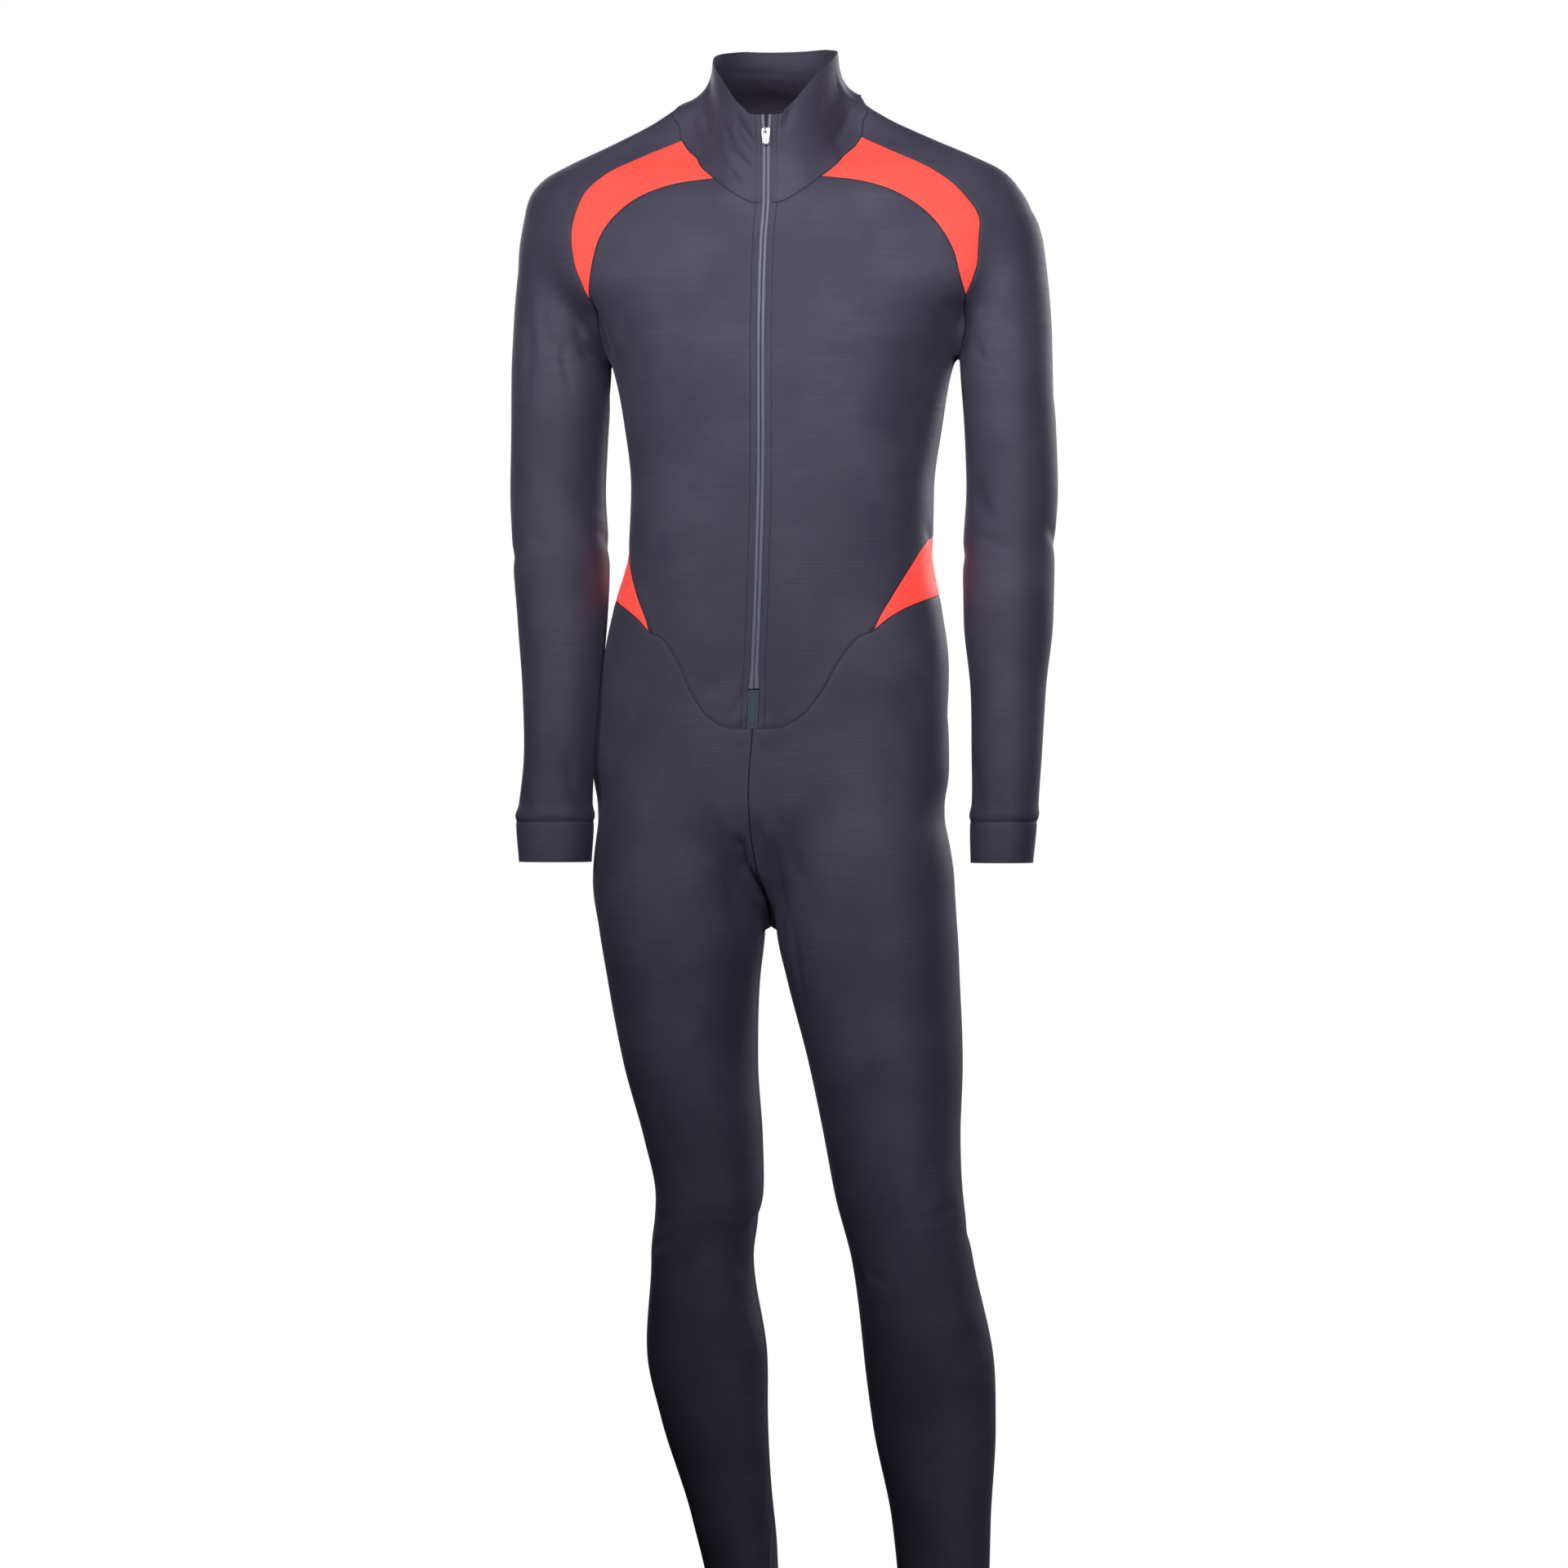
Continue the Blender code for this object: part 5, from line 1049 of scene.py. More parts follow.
def grid_normals(grid, outward_from):
    """Normals of a free grid, pointing away from a line of middles."""
    n = unit(np.cross(np.gradient(grid, axis=1), np.gradient(grid, axis=0)))
    return n * np.sign((n * (grid - outward_from)).sum(-1, keepdims=True))


def shortened(grid, axis):
    """A grid whose pointed ends along one axis stop just short of their tips."""
    cut = np.moveaxis(grid.copy(), axis, 0)
    source = np.moveaxis(grid, axis, 0)
    for end, inner in ((0, 1), (-1, -2)):
        if np.ptp(source[end], axis=0).max() < SPECK:
            cut[end] = source[end] * (1 - TIP_CUT) + source[inner] * TIP_CUT
    return np.moveaxis(cut, 0, axis)


def front_grid(side, seams):
    outer = joined(
        seams["band_inner"][::-1],
        seams["armhole_front"],
        seams["side"],
        seams["wedge_upper"][::-1],
        seams["v_side"][::-1],
    )
    return panel(TORSO_LIMB, side, seams["slot"], outer, seams["neck_front"], seams["v_bottom"])


def back_grid(left, right):
    edges = [
        joined(s["raglan_back"][::-1], s["armhole_back"][::-1], s["side"], s["wedge_upper_back"])
        for s in (left, right)
    ]
    top = joined(left["neck_back"], right["neck_back"][::-1])
    bottom = joined(left["waist_back"], right["waist_back"][::-1])
    return panel(TORSO_LIMB, 1, *edges, top, bottom)


def band_grid(side, seams):
    tip = np.repeat(seams["band_inner"][:1], COLUMNS_BAND + 1, axis=0)
    grid = panel(TORSO_LIMB, side, seams["band_inner"], seams["band_outer"], tip, seams["neck_band"])
    return shortened(grid, 0)


def wedge_grid(side, seams):
    upper = joined(seams["wedge_upper"], seams["wedge_upper_back"])
    lower = joined(seams["wedge_lower"], seams["wedge_lower_back"])
    first = np.repeat(upper[:1], ROWS_WEDGE_DEPTH + 1, axis=0)
    last = np.repeat(upper[-1:], ROWS_WEDGE_DEPTH + 1, axis=0)
    lower[0], lower[-1] = upper[0], upper[-1]
    return shortened(panel(TORSO_LIMB, side, first, last, upper, lower), 1)


def rings(limb, side, start, heights, columns, level):
    """Closed level rings of a sleeve or leg, from its inner seam right round to it."""
    turn = start + np.linspace(0, 2 * math.pi, columns + 1)
    places = vectors(turn[None, :], np.asarray(heights)[:, None] - level)
    surface = sleeved(side) if limb is SLEEVE_LIMB else halved(side)
    grid = cast(*limb[0](side, places), limb[2], surface)
    grid[:, -1] = grid[:, 0]
    return grid


def sleeve_grid(side, seams):
    """The sleeve from the neck seam to the cuff seam, and the row where its underarm seam begins."""
    front = joined(seams["band_outer"][::-1], seams["armhole_front"])
    back = joined(seams["raglan_back"][::-1], seams["armhole_back"][::-1])
    underarm = front[-1]
    start = sleeve_places(side, underarm)[0]
    heights = np.linspace(underarm[2], CUFF_SEAM_HEIGHT, ROWS_SLEEVE + 1)
    below = rings(SLEEVE_LIMB, side, start, heights, COLUMNS_SLEEVE, FAN_HEIGHT)
    below[0, 0] = below[0, -1] = underarm
    neck = seams["neck_sleeve"]
    head = panel(SLEEVE_LIMB, side, front, back, neck, below[0], sleeved(side))
    return np.vstack([head, below[1:]]), len(head) - 1


def cuff_grid(side):
    heights = np.linspace(CUFF_SEAM_HEIGHT, CUFF_END_HEIGHT, ROWS_CUFF + 1)
    return rings(SLEEVE_LIMB, side, -math.pi / 2, heights, COLUMNS_SLEEVE, FAN_HEIGHT)


def leg_grid(side, seams):
    """The leg from the waist seams to the hem, and the row where its inseam begins."""
    fork = fork_line()
    waist = joined(
        even(np.array([centre_line(-1, ZIP_BOTTOM_HEIGHT, FORK_HEIGHT)[0], seams["v_bottom"][0]]), 1),
        seams["v_bottom"],
        seams["v_side"],
        seams["wedge_lower"],
        seams["wedge_lower_back"],
        seams["waist_back"],
    )
    front = joined(centre_line(-1, ZIP_BOTTOM_HEIGHT, FORK_HEIGHT), fork[:DENSE])
    back = joined(centre_line(1, waist[-1][2], FORK_HEIGHT), fork[DENSE:][::-1])
    front, back = even(front, ROWS_FORK), even(back, ROWS_FORK)
    back[0] = waist[-1]
    back[-1] = front[-1]
    start = leg_places(side, front[-1])[0]
    heights = np.linspace(front[-1][2], HEM_HEIGHT, ROWS_LEG + 1)
    below = rings(LEG_LIMB, side, start, heights, len(waist) - 1, 0.0)
    below[0, 0] = below[0, -1] = front[-1]
    top = panel(LEG_LIMB, side, front, back, waist, below[0])
    return np.vstack([top, below[1:]]), len(top) - 1


def collar_grid(left, right):
    """The stand-up collar, from one edge of the zip slot round the neck to the other."""
    halves = [joined(*[seams[name] for name in NECK_SEAMS]) for seams in (left, right)]
    base = joined(halves[0], halves[1][::-1])
    turn = np.degrees(np.arctan2(base[:, 0] - NECK[0], -(base[:, 1] - NECK[1])))
    shape = collar_at(np.abs(turn))
    top_turn = np.radians(np.sign(turn) * shape[:, 0])
    top = vectors(
        COLLAR_TOP_X + COLLAR_TOP_WIDTH * np.sin(top_turn),
        COLLAR_TOP_MIDDLE - COLLAR_TOP_DEPTH * np.cos(top_turn),
        shape[:, 1],
    )
    size = np.linalg.norm(top - base, axis=1, keepdims=True)
    inward = vectors(-np.sin(np.radians(turn)), np.cos(np.radians(turn)), 0)
    lean = inward * shape[:, 2:3] + np.array([0, 0, 1.0])
    start = unit(lean) * size
    end = np.array([0, 0, COLLAR_STAND]) * size
    v = np.linspace(0, 1, ROWS_COLLAR + 1)[:, None, None]
    grid = smooth_run(v, base, start, top, end)
    for column, side in ((0, 1), (-1, -1)):
        edge = grid[:, column].copy()
        pull = ZIP_TOP_X + side * slot_at(edge[:, 2])[:, 0] - edge[:, 0]
        near = bell(turn - turn[column], COLLAR_PULL_TURN) * (side * turn > 0)
        grid[1:, :, 0] += pull[1:, None] * near
    return grid


def collar_middles(grid):
    """The neck's middle line beside each point of the collar."""
    share = np.linspace(0, 1, len(grid))[:, None]
    middle_y = NECK[1] + (COLLAR_TOP_MIDDLE - NECK[1]) * share
    return vectors(NECK[0], middle_y, grid[..., 2])


def split_at(line, directions, height):
    """A rising line above and below a height, just clear of it, each with its directions."""
    low, high = height - COIL_END_GAP / 2, height + COIL_END_GAP / 2
    both = np.column_stack([line, directions])
    ends = [[np.interp(end, line[:, 2], column) for column in both.T] for end in (low, high)]
    under, over = line[:, 2] < low, line[:, 2] > high
    parts = np.vstack([ends[1], both[over]]), np.vstack([both[under], ends[0]])
    return [(part[:, :3], part[:, 3:]) for part in parts]


def edge_frames(line, directions, side):
    """Directions towards the zip's middle and out of the cloth, along an edge of the slot."""
    smooth = directions.copy()
    for _ in range(SMOOTHINGS):
        smooth[1:-1] = (smooth[:-2] + smooth[1:-1] + smooth[2:]) / 3
    smooth = unit(smooth)
    inward = np.cross(np.gradient(line, axis=0), smooth)
    return unit(inward * -side * np.sign(inward[:, :1])), smooth


# Meshes


def closed_wall(name, outer, inner, material, tube_from=None):
    """A closed thin wall between two grids. From row tube_from on, the first and last columns meet."""
    rows, columns = outer.shape[:2]
    index = np.arange(rows * columns).reshape(rows, columns)
    if tube_from is not None:
        index[tube_from:, -1] = index[tube_from:, 0]
    back = index + rows * columns
    front_faces, back_faces = [
        np.stack([own[:-1, :-1], own[:-1, 1:], own[1:, 1:], own[1:, :-1]], -1).reshape(-1, 4)
        for own in (index, back)
    ]
    parted = slice(0, rows if tube_from is None else tube_from + 1)
    rims = []
    for line, under, way in (
        (index[0], back[0], 1),
        (index[-1], back[-1], -1),
        (index[parted, 0], back[parted, 0], -1),
        (index[parted, -1], back[parted, -1], 1),
    ):
        rims.append(np.stack([line[:-1], under[:-1], under[1:], line[1:]], -1)[:, ::way])
    faces = np.vstack([front_faces, back_faces[:, [0, 3, 2, 1]], *rims])
    points = np.vstack([outer.reshape(-1, 3), inner.reshape(-1, 3)])
    used = np.unique(faces)
    renumber = np.zeros(len(points), int)
    renumber[used] = np.arange(len(used))
    return mesh_object(name, points[used], renumber[faces], material)


def placed(name, data):
    """A new object of the scene."""
    made = bpy.data.objects.new(name, data)
    bpy.context.scene.collection.objects.link(made)
    return made


def mesh_object(name, points, faces, material):
    """An object in the row frame from points above the wearer's floor."""
    mesh = bpy.data.meshes.new(name)
    moved = np.asarray(points, float) - np.array([0.0, 0.0, HOLD_HEIGHT])
    mesh.from_pydata(moved.tolist(), [], [list(map(int, face)) for face in faces])
    mesh.materials.append(material)
    bm = bmesh.new()
    bm.from_mesh(mesh)
    bmesh.ops.recalc_face_normals(bm, faces=bm.faces)
    bm.to_mesh(mesh)
    bm.free()
    mesh.shade_smooth()
    mesh.set_sharp_from_angle(angle=math.radians(SMOOTH_ANGLE))
    return placed(name, mesh)


def rides(made, node, body_name="suit"):
    """Puts a piece on its body and lets it stand for its solid."""
    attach(made, body_name)
    if node is not None:
        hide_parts(node)
    return made


def folded(grid, surface=body):
    """The cloth's outer face with all its folds, and its outward directions."""
    out = normals(grid, surface)
    return grid + out * fold_depth(grid, out)[..., None], out


def spaced(grid, first, last):
    """The grid with its columns at set distances from one or both of its side edges."""
    count = grid.shape[1]
    made = np.empty((len(grid), count + len(first) + len(last), 3))
    for number, row in enumerate(grid):
        at = lengths_along(row)
        near, far = [
            np.append(0.0, np.minimum(steps, at[-1] * EDGE_SHARE * np.arange(1, len(steps) + 1)))
            for steps in (first, last)
        ]
        middle = np.linspace(near[-1], at[-1] - far[-1], count)
        places = np.concatenate([near[:-1], middle, (at[-1] - far[:-1])[::-1]])
        made[number] = read_along(places, at, row)
    return made


def finer_ends(grid, edges):
    """The grid with one more row close to its top or bottom edge, and how many lie at the top."""
    inner = 1 - EXTRA_ROW
    if "top" in edges:
        grid = np.vstack([grid[:1], grid[:1] * inner + grid[1:2] * EXTRA_ROW, grid[1:]])
    if "bottom" in edges:
        grid = np.vstack([grid[:-1], grid[-1:] * inner + grid[-2:-1] * EXTRA_ROW, grid[-1:]])
    return grid, int("top" in edges)


def apart(grid, edge):
    """How far each point of a grid lies from one of its edges, along its own row or column."""
    line = {"first": grid[:, :1], "last": grid[:, -1:], "top": grid[:1], "bottom": grid[-1:]}[edge]
    return np.linalg.norm(grid - line, axis=-1)


def falling(distance, width):
    """1 well before a place and 0 well past it."""
    return 0.5 - 0.5 * np.tanh(distance / width)


def grooved(outer, out, edges):
    """Sinks the cloth a little beside each seam."""
    sink = np.zeros(outer.shape[:2])
    for edge in edges:
        sink = np.maximum(sink, GROOVE_DEPTH * bell(apart(outer, edge), GROOVE_REACH))
    return outer - out * sink[..., None]


def placket(outer, out, edges=("first",)):
    """Turns the cloth under beside the zip: a little proud, with a sunk line of stitches."""
    off = np.minimum.reduce([apart(outer, edge) for edge in edges]) - PLACKET_WIDTH
    rise = PLACKET_RISE * falling(off, PLACKET_EDGE)
    return outer + out * (rise - PLACKET_SINK * bell(off, 2 * PLACKET_EDGE))[..., None]


def cloth(name, grid, edges, material, tube_from=None, surface=body, gap=SEAM_GAP / 2, shape=None):
    """A thin shell of cloth on its solid's form. Returns its outer face and directions too."""
    grid, added = finer_ends(grid, edges)
    if tube_from is not None:
        tube_from += added
    first = (PLACKET_STEPS if shape is placket else EDGE_STEPS) if "first" in edges else ()
    grid = spaced(grid, first, EDGE_STEPS if "last" in edges else ())
    face, out = folded(grid, surface)
    outer = grooved(face, out, edges)
    if shape is not None:
        outer = shape(outer, out)
    outer = drawn_in(outer, out, edges, gap)
    made = closed_wall(name, outer, outer - out * SHELL, material, tube_from)
    node = name.removesuffix("_cloth")
    rides(made, node)
    return face, out


def turned_hem(outer, out):
    """Turns the last rows up and sews them: a little proud, with a sunk line of stitches."""
    up = apart(outer, "bottom") - HEM_HEIGHT_ABOVE
    return outer + out * (HEM_RISE * falling(up, HEM_STEP) - HEM_DIP * bell(up, HEM_STITCH))[..., None]


def bloused(outer, out):
    """Lets the sleeve stand a little over its cuff."""
    up = apart(outer, "bottom") - BLOUSE_HEIGHT
    return outer + out * (BLOUSE * bell(up, BLOUSE_WIDTH))[..., None]


def tube_faces(base, rows, count):
    """Faces of a tube of rings, count points each, with both ends closed."""
    index = base + np.arange(rows * count).reshape(rows, count)
    following = np.roll(index, -1, axis=1)
    quads = np.stack([index[:-1], following[:-1], following[1:], index[1:]], -1).reshape(-1, 4)
    return quads.tolist() + [index[0][::-1].tolist(), index[-1].tolist()]


def cords(name, lines, ways, width, rise, sides):
    """One piece of many thin flattened cords on the cloth: its seams, or its stitches. Their dark thread
    also paints shade along the seams.
    """
    points, faces, base = [], [], 0
    turn = np.linspace(0, 2 * math.pi, sides, endpoint=False)
    for line, out in zip(lines, ways):
        aside = unit(np.cross(unit(np.gradient(line, axis=0)), out))
        ring = (
            line[:, None]
            + aside[:, None] * (width / 2 * np.cos(turn))[None, :, None]
            + out[:, None] * (rise * np.sin(turn))[None, :, None]
        )
        points.append(ring.reshape(-1, 3))
        faces += tube_faces(base, len(line), sides)
        base += len(line) * sides
    return rides(mesh_object(name, np.vstack(points), faces, DARK_THREAD_AND_SEAM_SHADE), None)


def offset_line(face, out, edge, distance):
    """A line on the cloth at one distance from one edge of its grid."""
    line, way = [], []
    for row, normal in zip(seen_from(face, edge), seen_from(out, edge)):
        at = lengths_along(row)
        if at[-1] >= distance:
            line.append(read_along([distance], at, row)[0])
            way.append(read_along([distance], at, normal)[0])
    return np.array(line), np.array(way)


# Zip


def zip_row(name, line, directions, side):
    """One ribbed row of the zip and its tape behind the cloth."""
    length = np.linalg.norm(np.diff(line, axis=0), axis=1).sum()
    count = int(length / (COIL_PITCH / 2))
    dense_line, dense_way = even(line, count), even(line, count, directions)
    inward, out = edge_frames(dense_line, dense_way, side)
    inner = SEAM_GAP + COIL_WIDTH
    low, high = TAPE_DEPTH, TAPE_DEPTH + TAPE_THICKNESS
    flat = (
        (inner, COIL_SINK),
        (inner - COIL_ROUND, -COIL_PROUD),
        ((inner + SEAM_GAP) / 2, -COIL_PROUD - COIL_CROWN),
        (SEAM_GAP + COIL_ROUND, -COIL_PROUD),
        (SEAM_GAP, COIL_SINK),
        (SEAM_GAP, low),
        (-TAPE_REACH, low),
        (-TAPE_REACH, high),
        (inner - SEAM_GAP, high),
    )
    sections = []
    for number, (p, c, n) in enumerate(zip(dense_line, inward, out)):
        rib = COIL_RIB if number % 2 else 0.0
        wider = 1 + np.interp(p[2], (COIL_END_HEIGHT, COIL_SPREAD_TOP), (COIL_SPREAD, 0.0)) / inner
        section = []
        for a, d in flat:
            reach = a * wider if a > SEAM_GAP else a
            section.append(p + reach * c - (d + (rib if d < COIL_SINK else 0.0)) * n)
        sections.append(section)
    return rides(lofted(name, sections, ZIP), name.removesuffix("_row"))


def lofted(name, sections, material):
    """A closed skin through like sections, a row of points each."""
    sections = np.array(sections)
    faces = tube_faces(0, *sections.shape[:2])
    return mesh_object(name, sections.reshape(-1, 3), faces, material)


def end_patch(name, left, right, ways_left, ways_right):
    """The patch sewn over the zip's lower end, with wings behind both fronts."""
    in_left, out_left = edge_frames(left, ways_left, 1)
    in_right, out_right = edge_frames(right, ways_right, -1)
    wing = TAPE_REACH - PATCH_WING
    low, high = TAPE_DEPTH, TAPE_DEPTH + TAPE_THICKNESS
    behind = ((SEAM_GAP, low), (-wing, low), (-wing, high))
    across = np.linspace(0, 1, PATCH_POINTS)
    sections, middles = [], []
    for p, c, n, q, e, m in zip(left, in_left, out_left, right, in_right, out_right):
        face = []
        for share in across:
            edge = (p + SEAM_GAP * c) * (1 - share) + (q + SEAM_GAP * e) * share
            way = n * (1 - share) + m * share
            face.append(edge + way * (COIL_PROUD - PATCH_ROUND * abs(2 * share - 1) ** 4))
        near = [p + a * c - d * n for a, d in behind]
        far = [q + a * e - d * m for a, d in behind]
        sections.append(face + far + near[::-1])
        middles.append(face)
    rides(lofted(name, sections, PATCH), "zip_end")
    return np.array(middles), (out_left + out_right) / 2


def prism_into(bm, outline, low, high, axis, bevel):
    """Adds a plate with soft edges: a flat outline pushed along one axis."""
    ends = []
    for place in (low, high):
        ring = []
        for pair in outline:
            point = list(pair)
            point.insert(axis, place)
            ring.append(bm.verts.new(point))
        ends.append(ring)
    count = len(outline)
    faces = [bm.faces.new(ends[0][::-1]), bm.faces.new(ends[1])]
    for i in range(count):
        k = (i + 1) % count
        faces.append(bm.faces.new((ends[0][i], ends[0][k], ends[1][k], ends[1][i])))
    bmesh.ops.recalc_face_normals(bm, faces=faces)
    edges = list(dict.fromkeys(edge for face in faces for edge in face.edges))
    bmesh.ops.bevel(bm, geom=edges, offset=bevel, segments=2, profile=0.6, affect="EDGES")


def metal_object(name, bm):
    """An object of metal from a mesh above the wearer's floor."""
    for vert in bm.verts:
        vert.co.z -= HOLD_HEIGHT
    mesh = bpy.data.meshes.new(name)
    bm.to_mesh(mesh)
    bm.free()
    mesh.materials.append(METAL)
    return placed(name, mesh)


def metal_piece(name, bm, cutter=None):
    """A piece of metal, with openings cut through it."""
    made = metal_object(name, bm)
    if cutter is not None:
        cut = made.modifiers.new("Opening", "BOOLEAN")
        cut.operation = "DIFFERENCE"
        cut.object = metal_object(name + "_cutter", cutter)
        graph = bpy.context.evaluated_depsgraph_get()
        finished = bpy.data.meshes.new_from_object(made.evaluated_get(graph))
        bpy.data.objects.remove(cut.object)
        made.modifiers.clear()
        made.data = finished
    made.data.shade_smooth()
    made.data.set_sharp_from_angle(angle=math.radians(METAL_ANGLE))
    return made


def tapered_outline(top_width, nose_width, top, length):
    """A flat outline with cut corners, wider at its top: x and height."""
    t, n, low, cut = top_width / 2, nose_width / 2, top - length, CORNER_CUT
    half = ((t - cut, top), (t, top - cut), (n, low + cut), (n - cut, low))
    mirrored = tuple((-x, height) for x, height in half[::-1])
    return tuple((x + ZIP_TOP_X, height) for x, height in half + mirrored)


def box_outline(width, low, high):
    """A flat box about the zip's middle line: x and height."""
    left, right = ZIP_TOP_X - width / 2, ZIP_TOP_X + width / 2
    return ((left, low), (right, low), (right, high), (left, high))


def ring_outline(face):
    """A half ring about the tab's hinge, with both ends let into the slider's face: y and height."""
    turns = np.linspace(math.pi / 2, -math.pi / 2, RING_CORNERS)
    centre_y, sunk = face - HINGE_GAP, face + SLIDER_PLATE / 2
    outside, inside = [
        [(sunk, HINGE_HEIGHT + r)]
        + [(centre_y - r * math.cos(t), HINGE_HEIGHT + r * math.sin(t)) for t in turns]
        + [(sunk, HINGE_HEIGHT - r)]
        for r in (RING_OUTER, RING_INNER)
    ]
    return outside + inside[::-1]


def slider_and_tab():
    """The zip's slider and its tab, as worked metal."""
    back_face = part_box("zip_slider")[1][1]
    face = back_face - 2 * SLIDER_PLATE - SLIDER_THROAT
    back = face + SLIDER_PLATE + SLIDER_THROAT
    plate = tapered_outline(SLIDER_WIDTH, SLIDER_NOSE_WIDTH, SLIDER_TOP_HEIGHT, SLIDER_LENGTH)
    post_top = SLIDER_TOP_HEIGHT - POST_INSET
    post = box_outline(POST_WIDTH, SLIDER_TOP_HEIGHT - POST_HEIGHT, post_top)
    half = RING_WIDTH / 2
    bm = bmesh.new()
    prism_into(bm, plate, face, face + SLIDER_PLATE, 1, PLATE_BEVEL)
    prism_into(bm, plate, back, back + SLIDER_PLATE, 1, PLATE_BEVEL)
    prism_into(bm, post, face + SLIDER_PLATE / 2, back + SLIDER_PLATE / 2, 1, POST_BEVEL)
    prism_into(bm, ring_outline(face), ZIP_TOP_X - half, ZIP_TOP_X + half, 0, RING_BEVEL)
    rides(metal_piece("zip_slider_metal", bm), "zip_slider")

    centre_y = face - HINGE_GAP
    outline = tapered_outline(TAB_WIDTH, TAB_NOSE_WIDTH, HINGE_HEIGHT + TAB_BAR / 2, TAB_LENGTH)
    front, rear = centre_y - TAB_THICKNESS / 2, centre_y + TAB_THICKNESS / 2
    bm, cutter = bmesh.new(), bmesh.new()
    prism_into(bm, outline, front, rear, 1, TAB_BEVEL)
    top = HINGE_HEIGHT - TAB_BAR / 2
    hole = box_outline(WINDOW_WIDTH, top - WINDOW_HEIGHT, top)
    prism_into(cutter, hole, front - CUT_PAST, rear + CUT_PAST, 1, WINDOW_BEVEL)
    for number in range(TAB_GRIPS):
        low = HINGE_HEIGHT - TAB_LENGTH + TAB_BAR + GRIP_PITCH * (number + 1)
        grip = box_outline(TAB_NOSE_WIDTH - GRIP_INSET, low, low + GRIP_HEIGHT)
        prism_into(cutter, grip, front - CUT_PAST, front + GRIP_DEPTH, 1, GRIP_BEVEL)
    rides(metal_piece("pull_tab_metal", bm, cutter), "pull_tab", "pull_tab")


# Materials


def filled(tree, node, inputs):
    """Fills a node's inputs, by name or number: links an output, and sets any other value."""
    for socket, value in inputs.items():
        if isinstance(value, bpy.types.NodeSocket):
            tree.links.new(value, node.inputs[socket])
        else:
            node.inputs[socket].default_value = value


def linked(tree, kind, inputs, **settings):
    """A new node with its settings and inputs."""
    node = tree.nodes.new(kind)
    for name, value in settings.items():
        setattr(node, name, value)
    filled(tree, node, inputs)
    return node


def noise(tree, place, scale, detail, roughness):
    """A noise texture, read at a place."""
    values = {"Vector": place, "Scale": scale, "Detail": detail, "Roughness": roughness}
    return linked(tree, "ShaderNodeTexNoise", values).outputs["Fac"]


def shaded(name, colour, values):
    """A new material with its shader's own values. Its tree, shader and places come too."""
    material = bpy.data.materials.new(name)
    material.use_nodes = True
    material.diffuse_color = (*colour, 1.0)
    tree = material.node_tree
    shader = tree.nodes["Principled BSDF"]
    filled(tree, shader, values)
    return material, tree, shader, linked(tree, "ShaderNodeTexCoord", {}).outputs["Object"]


def varied(tree, shader, colours, colour_share, roughness, dull_share, bumps):
    """Varies a shader's colour, roughness and relief. Bumps: strength, depth, height."""
    ends = {0: colour_share, 6: (*colours[0], 1.0), 7: (*colours[1], 1.0)}
    mixed = linked(tree, "ShaderNodeMix", ends, data_type="RGBA")
    values = {"Value": dull_share, "To Min": roughness[0], "To Max": roughness[1]}
    dull = linked(tree, "ShaderNodeMapRange", values)
    relief = {}
    for strength, depth, height in bumps:
        relief.update({"Strength": strength, "Distance": depth, "Height": height})
        relief["Normal"] = linked(tree, "ShaderNodeBump", relief).outputs["Normal"]
    results = {"Base Color": mixed.outputs[2], "Roughness": dull.outputs["Result"]}
    filled(tree, shader, {**results, "Normal": relief["Normal"]})


def knit(name, colour, light, roughness, sheen, tint, painted_glow=0.0):
    """Warp knit with a soft sheen: fine courses, faint streaks along them and small loops, and a painted
    glow of its own colour at painted_glow.
    """
    values = {
        "Sheen Weight": sheen,
        "Sheen Roughness": 0.38,
        "Sheen Tint": (*tint, 1.0),
        "Specular IOR Level": 0.32,
        # Painted glow: emission of the knit's own colour at painted_glow, as if the cloth were a lamp.
        "Emission Color": (*colour, 1.0),
        "Emission Strength": painted_glow,
    }
    material, tree, shader, place = shaded(name, colour, values)
    values = {"Vector": place, "Scale": STREAK_SCALE}
    stretched = linked(tree, "ShaderNodeMapping", values).outputs["Vector"]
    streaks = noise(tree, stretched, 1.0, 5.0, 0.62)
    patches = noise(tree, place, PATCH_SCALE, 3.0, 0.5)
    values = {"Value": patches, "From Min": 0.40, "From Max": 0.62, "To Min": 0.0, "To Max": 0.65}
    shown = linked(tree, "ShaderNodeMapRange", values).outputs["Result"]
    streaked = linked(tree, "ShaderNodeMath", {0: streaks, 1: shown}, operation="MULTIPLY").outputs["Value"]
    values = {"Vector": place, "Scale": COURSE_SCALE, "Distortion": 1.2, "Detail": 1.0}
    courses = linked(tree, "ShaderNodeTexWave", values, bands_direction="Z").outputs["Fac"]
    loops = linked(tree, "ShaderNodeTexVoronoi", {"Vector": place, "Scale": LOOP_SCALE}).outputs["Distance"]
    relief = linked(tree, "ShaderNodeMath", {0: courses, 1: loops}, operation="ADD").outputs["Value"]
    dull = (roughness + 0.08, roughness - 0.08)
    bumps = ((0.16, LOOP_DEPTH, relief), (0.45, STREAK_DEPTH, streaks))
    varied(tree, shader, (colour, light), streaked, dull, streaks, bumps)
    return material


def speckled(name, colour, light, roughness, metallic=0.0, grain=900.0, depth=0.00004):
    """Plastic, thread or metal with a fine grain and some wear."""
    material, tree, shader, place = shaded(name, colour, {"Metallic": metallic})
    grains = noise(tree, place, grain, 4.0, 0.6)
    dull = (roughness - 0.1, roughness + 0.1)
    varied(tree, shader, (colour, light), grains, dull, grains, ((0.25, depth, grains),))
    return material


DARK = ((0.0575, 0.0520, 0.0860), (0.111, 0.101, 0.150))
ANTHRACITE = knit("anthracite", *DARK, 0.64, 0.16, (0.72, 0.74, 1.0))
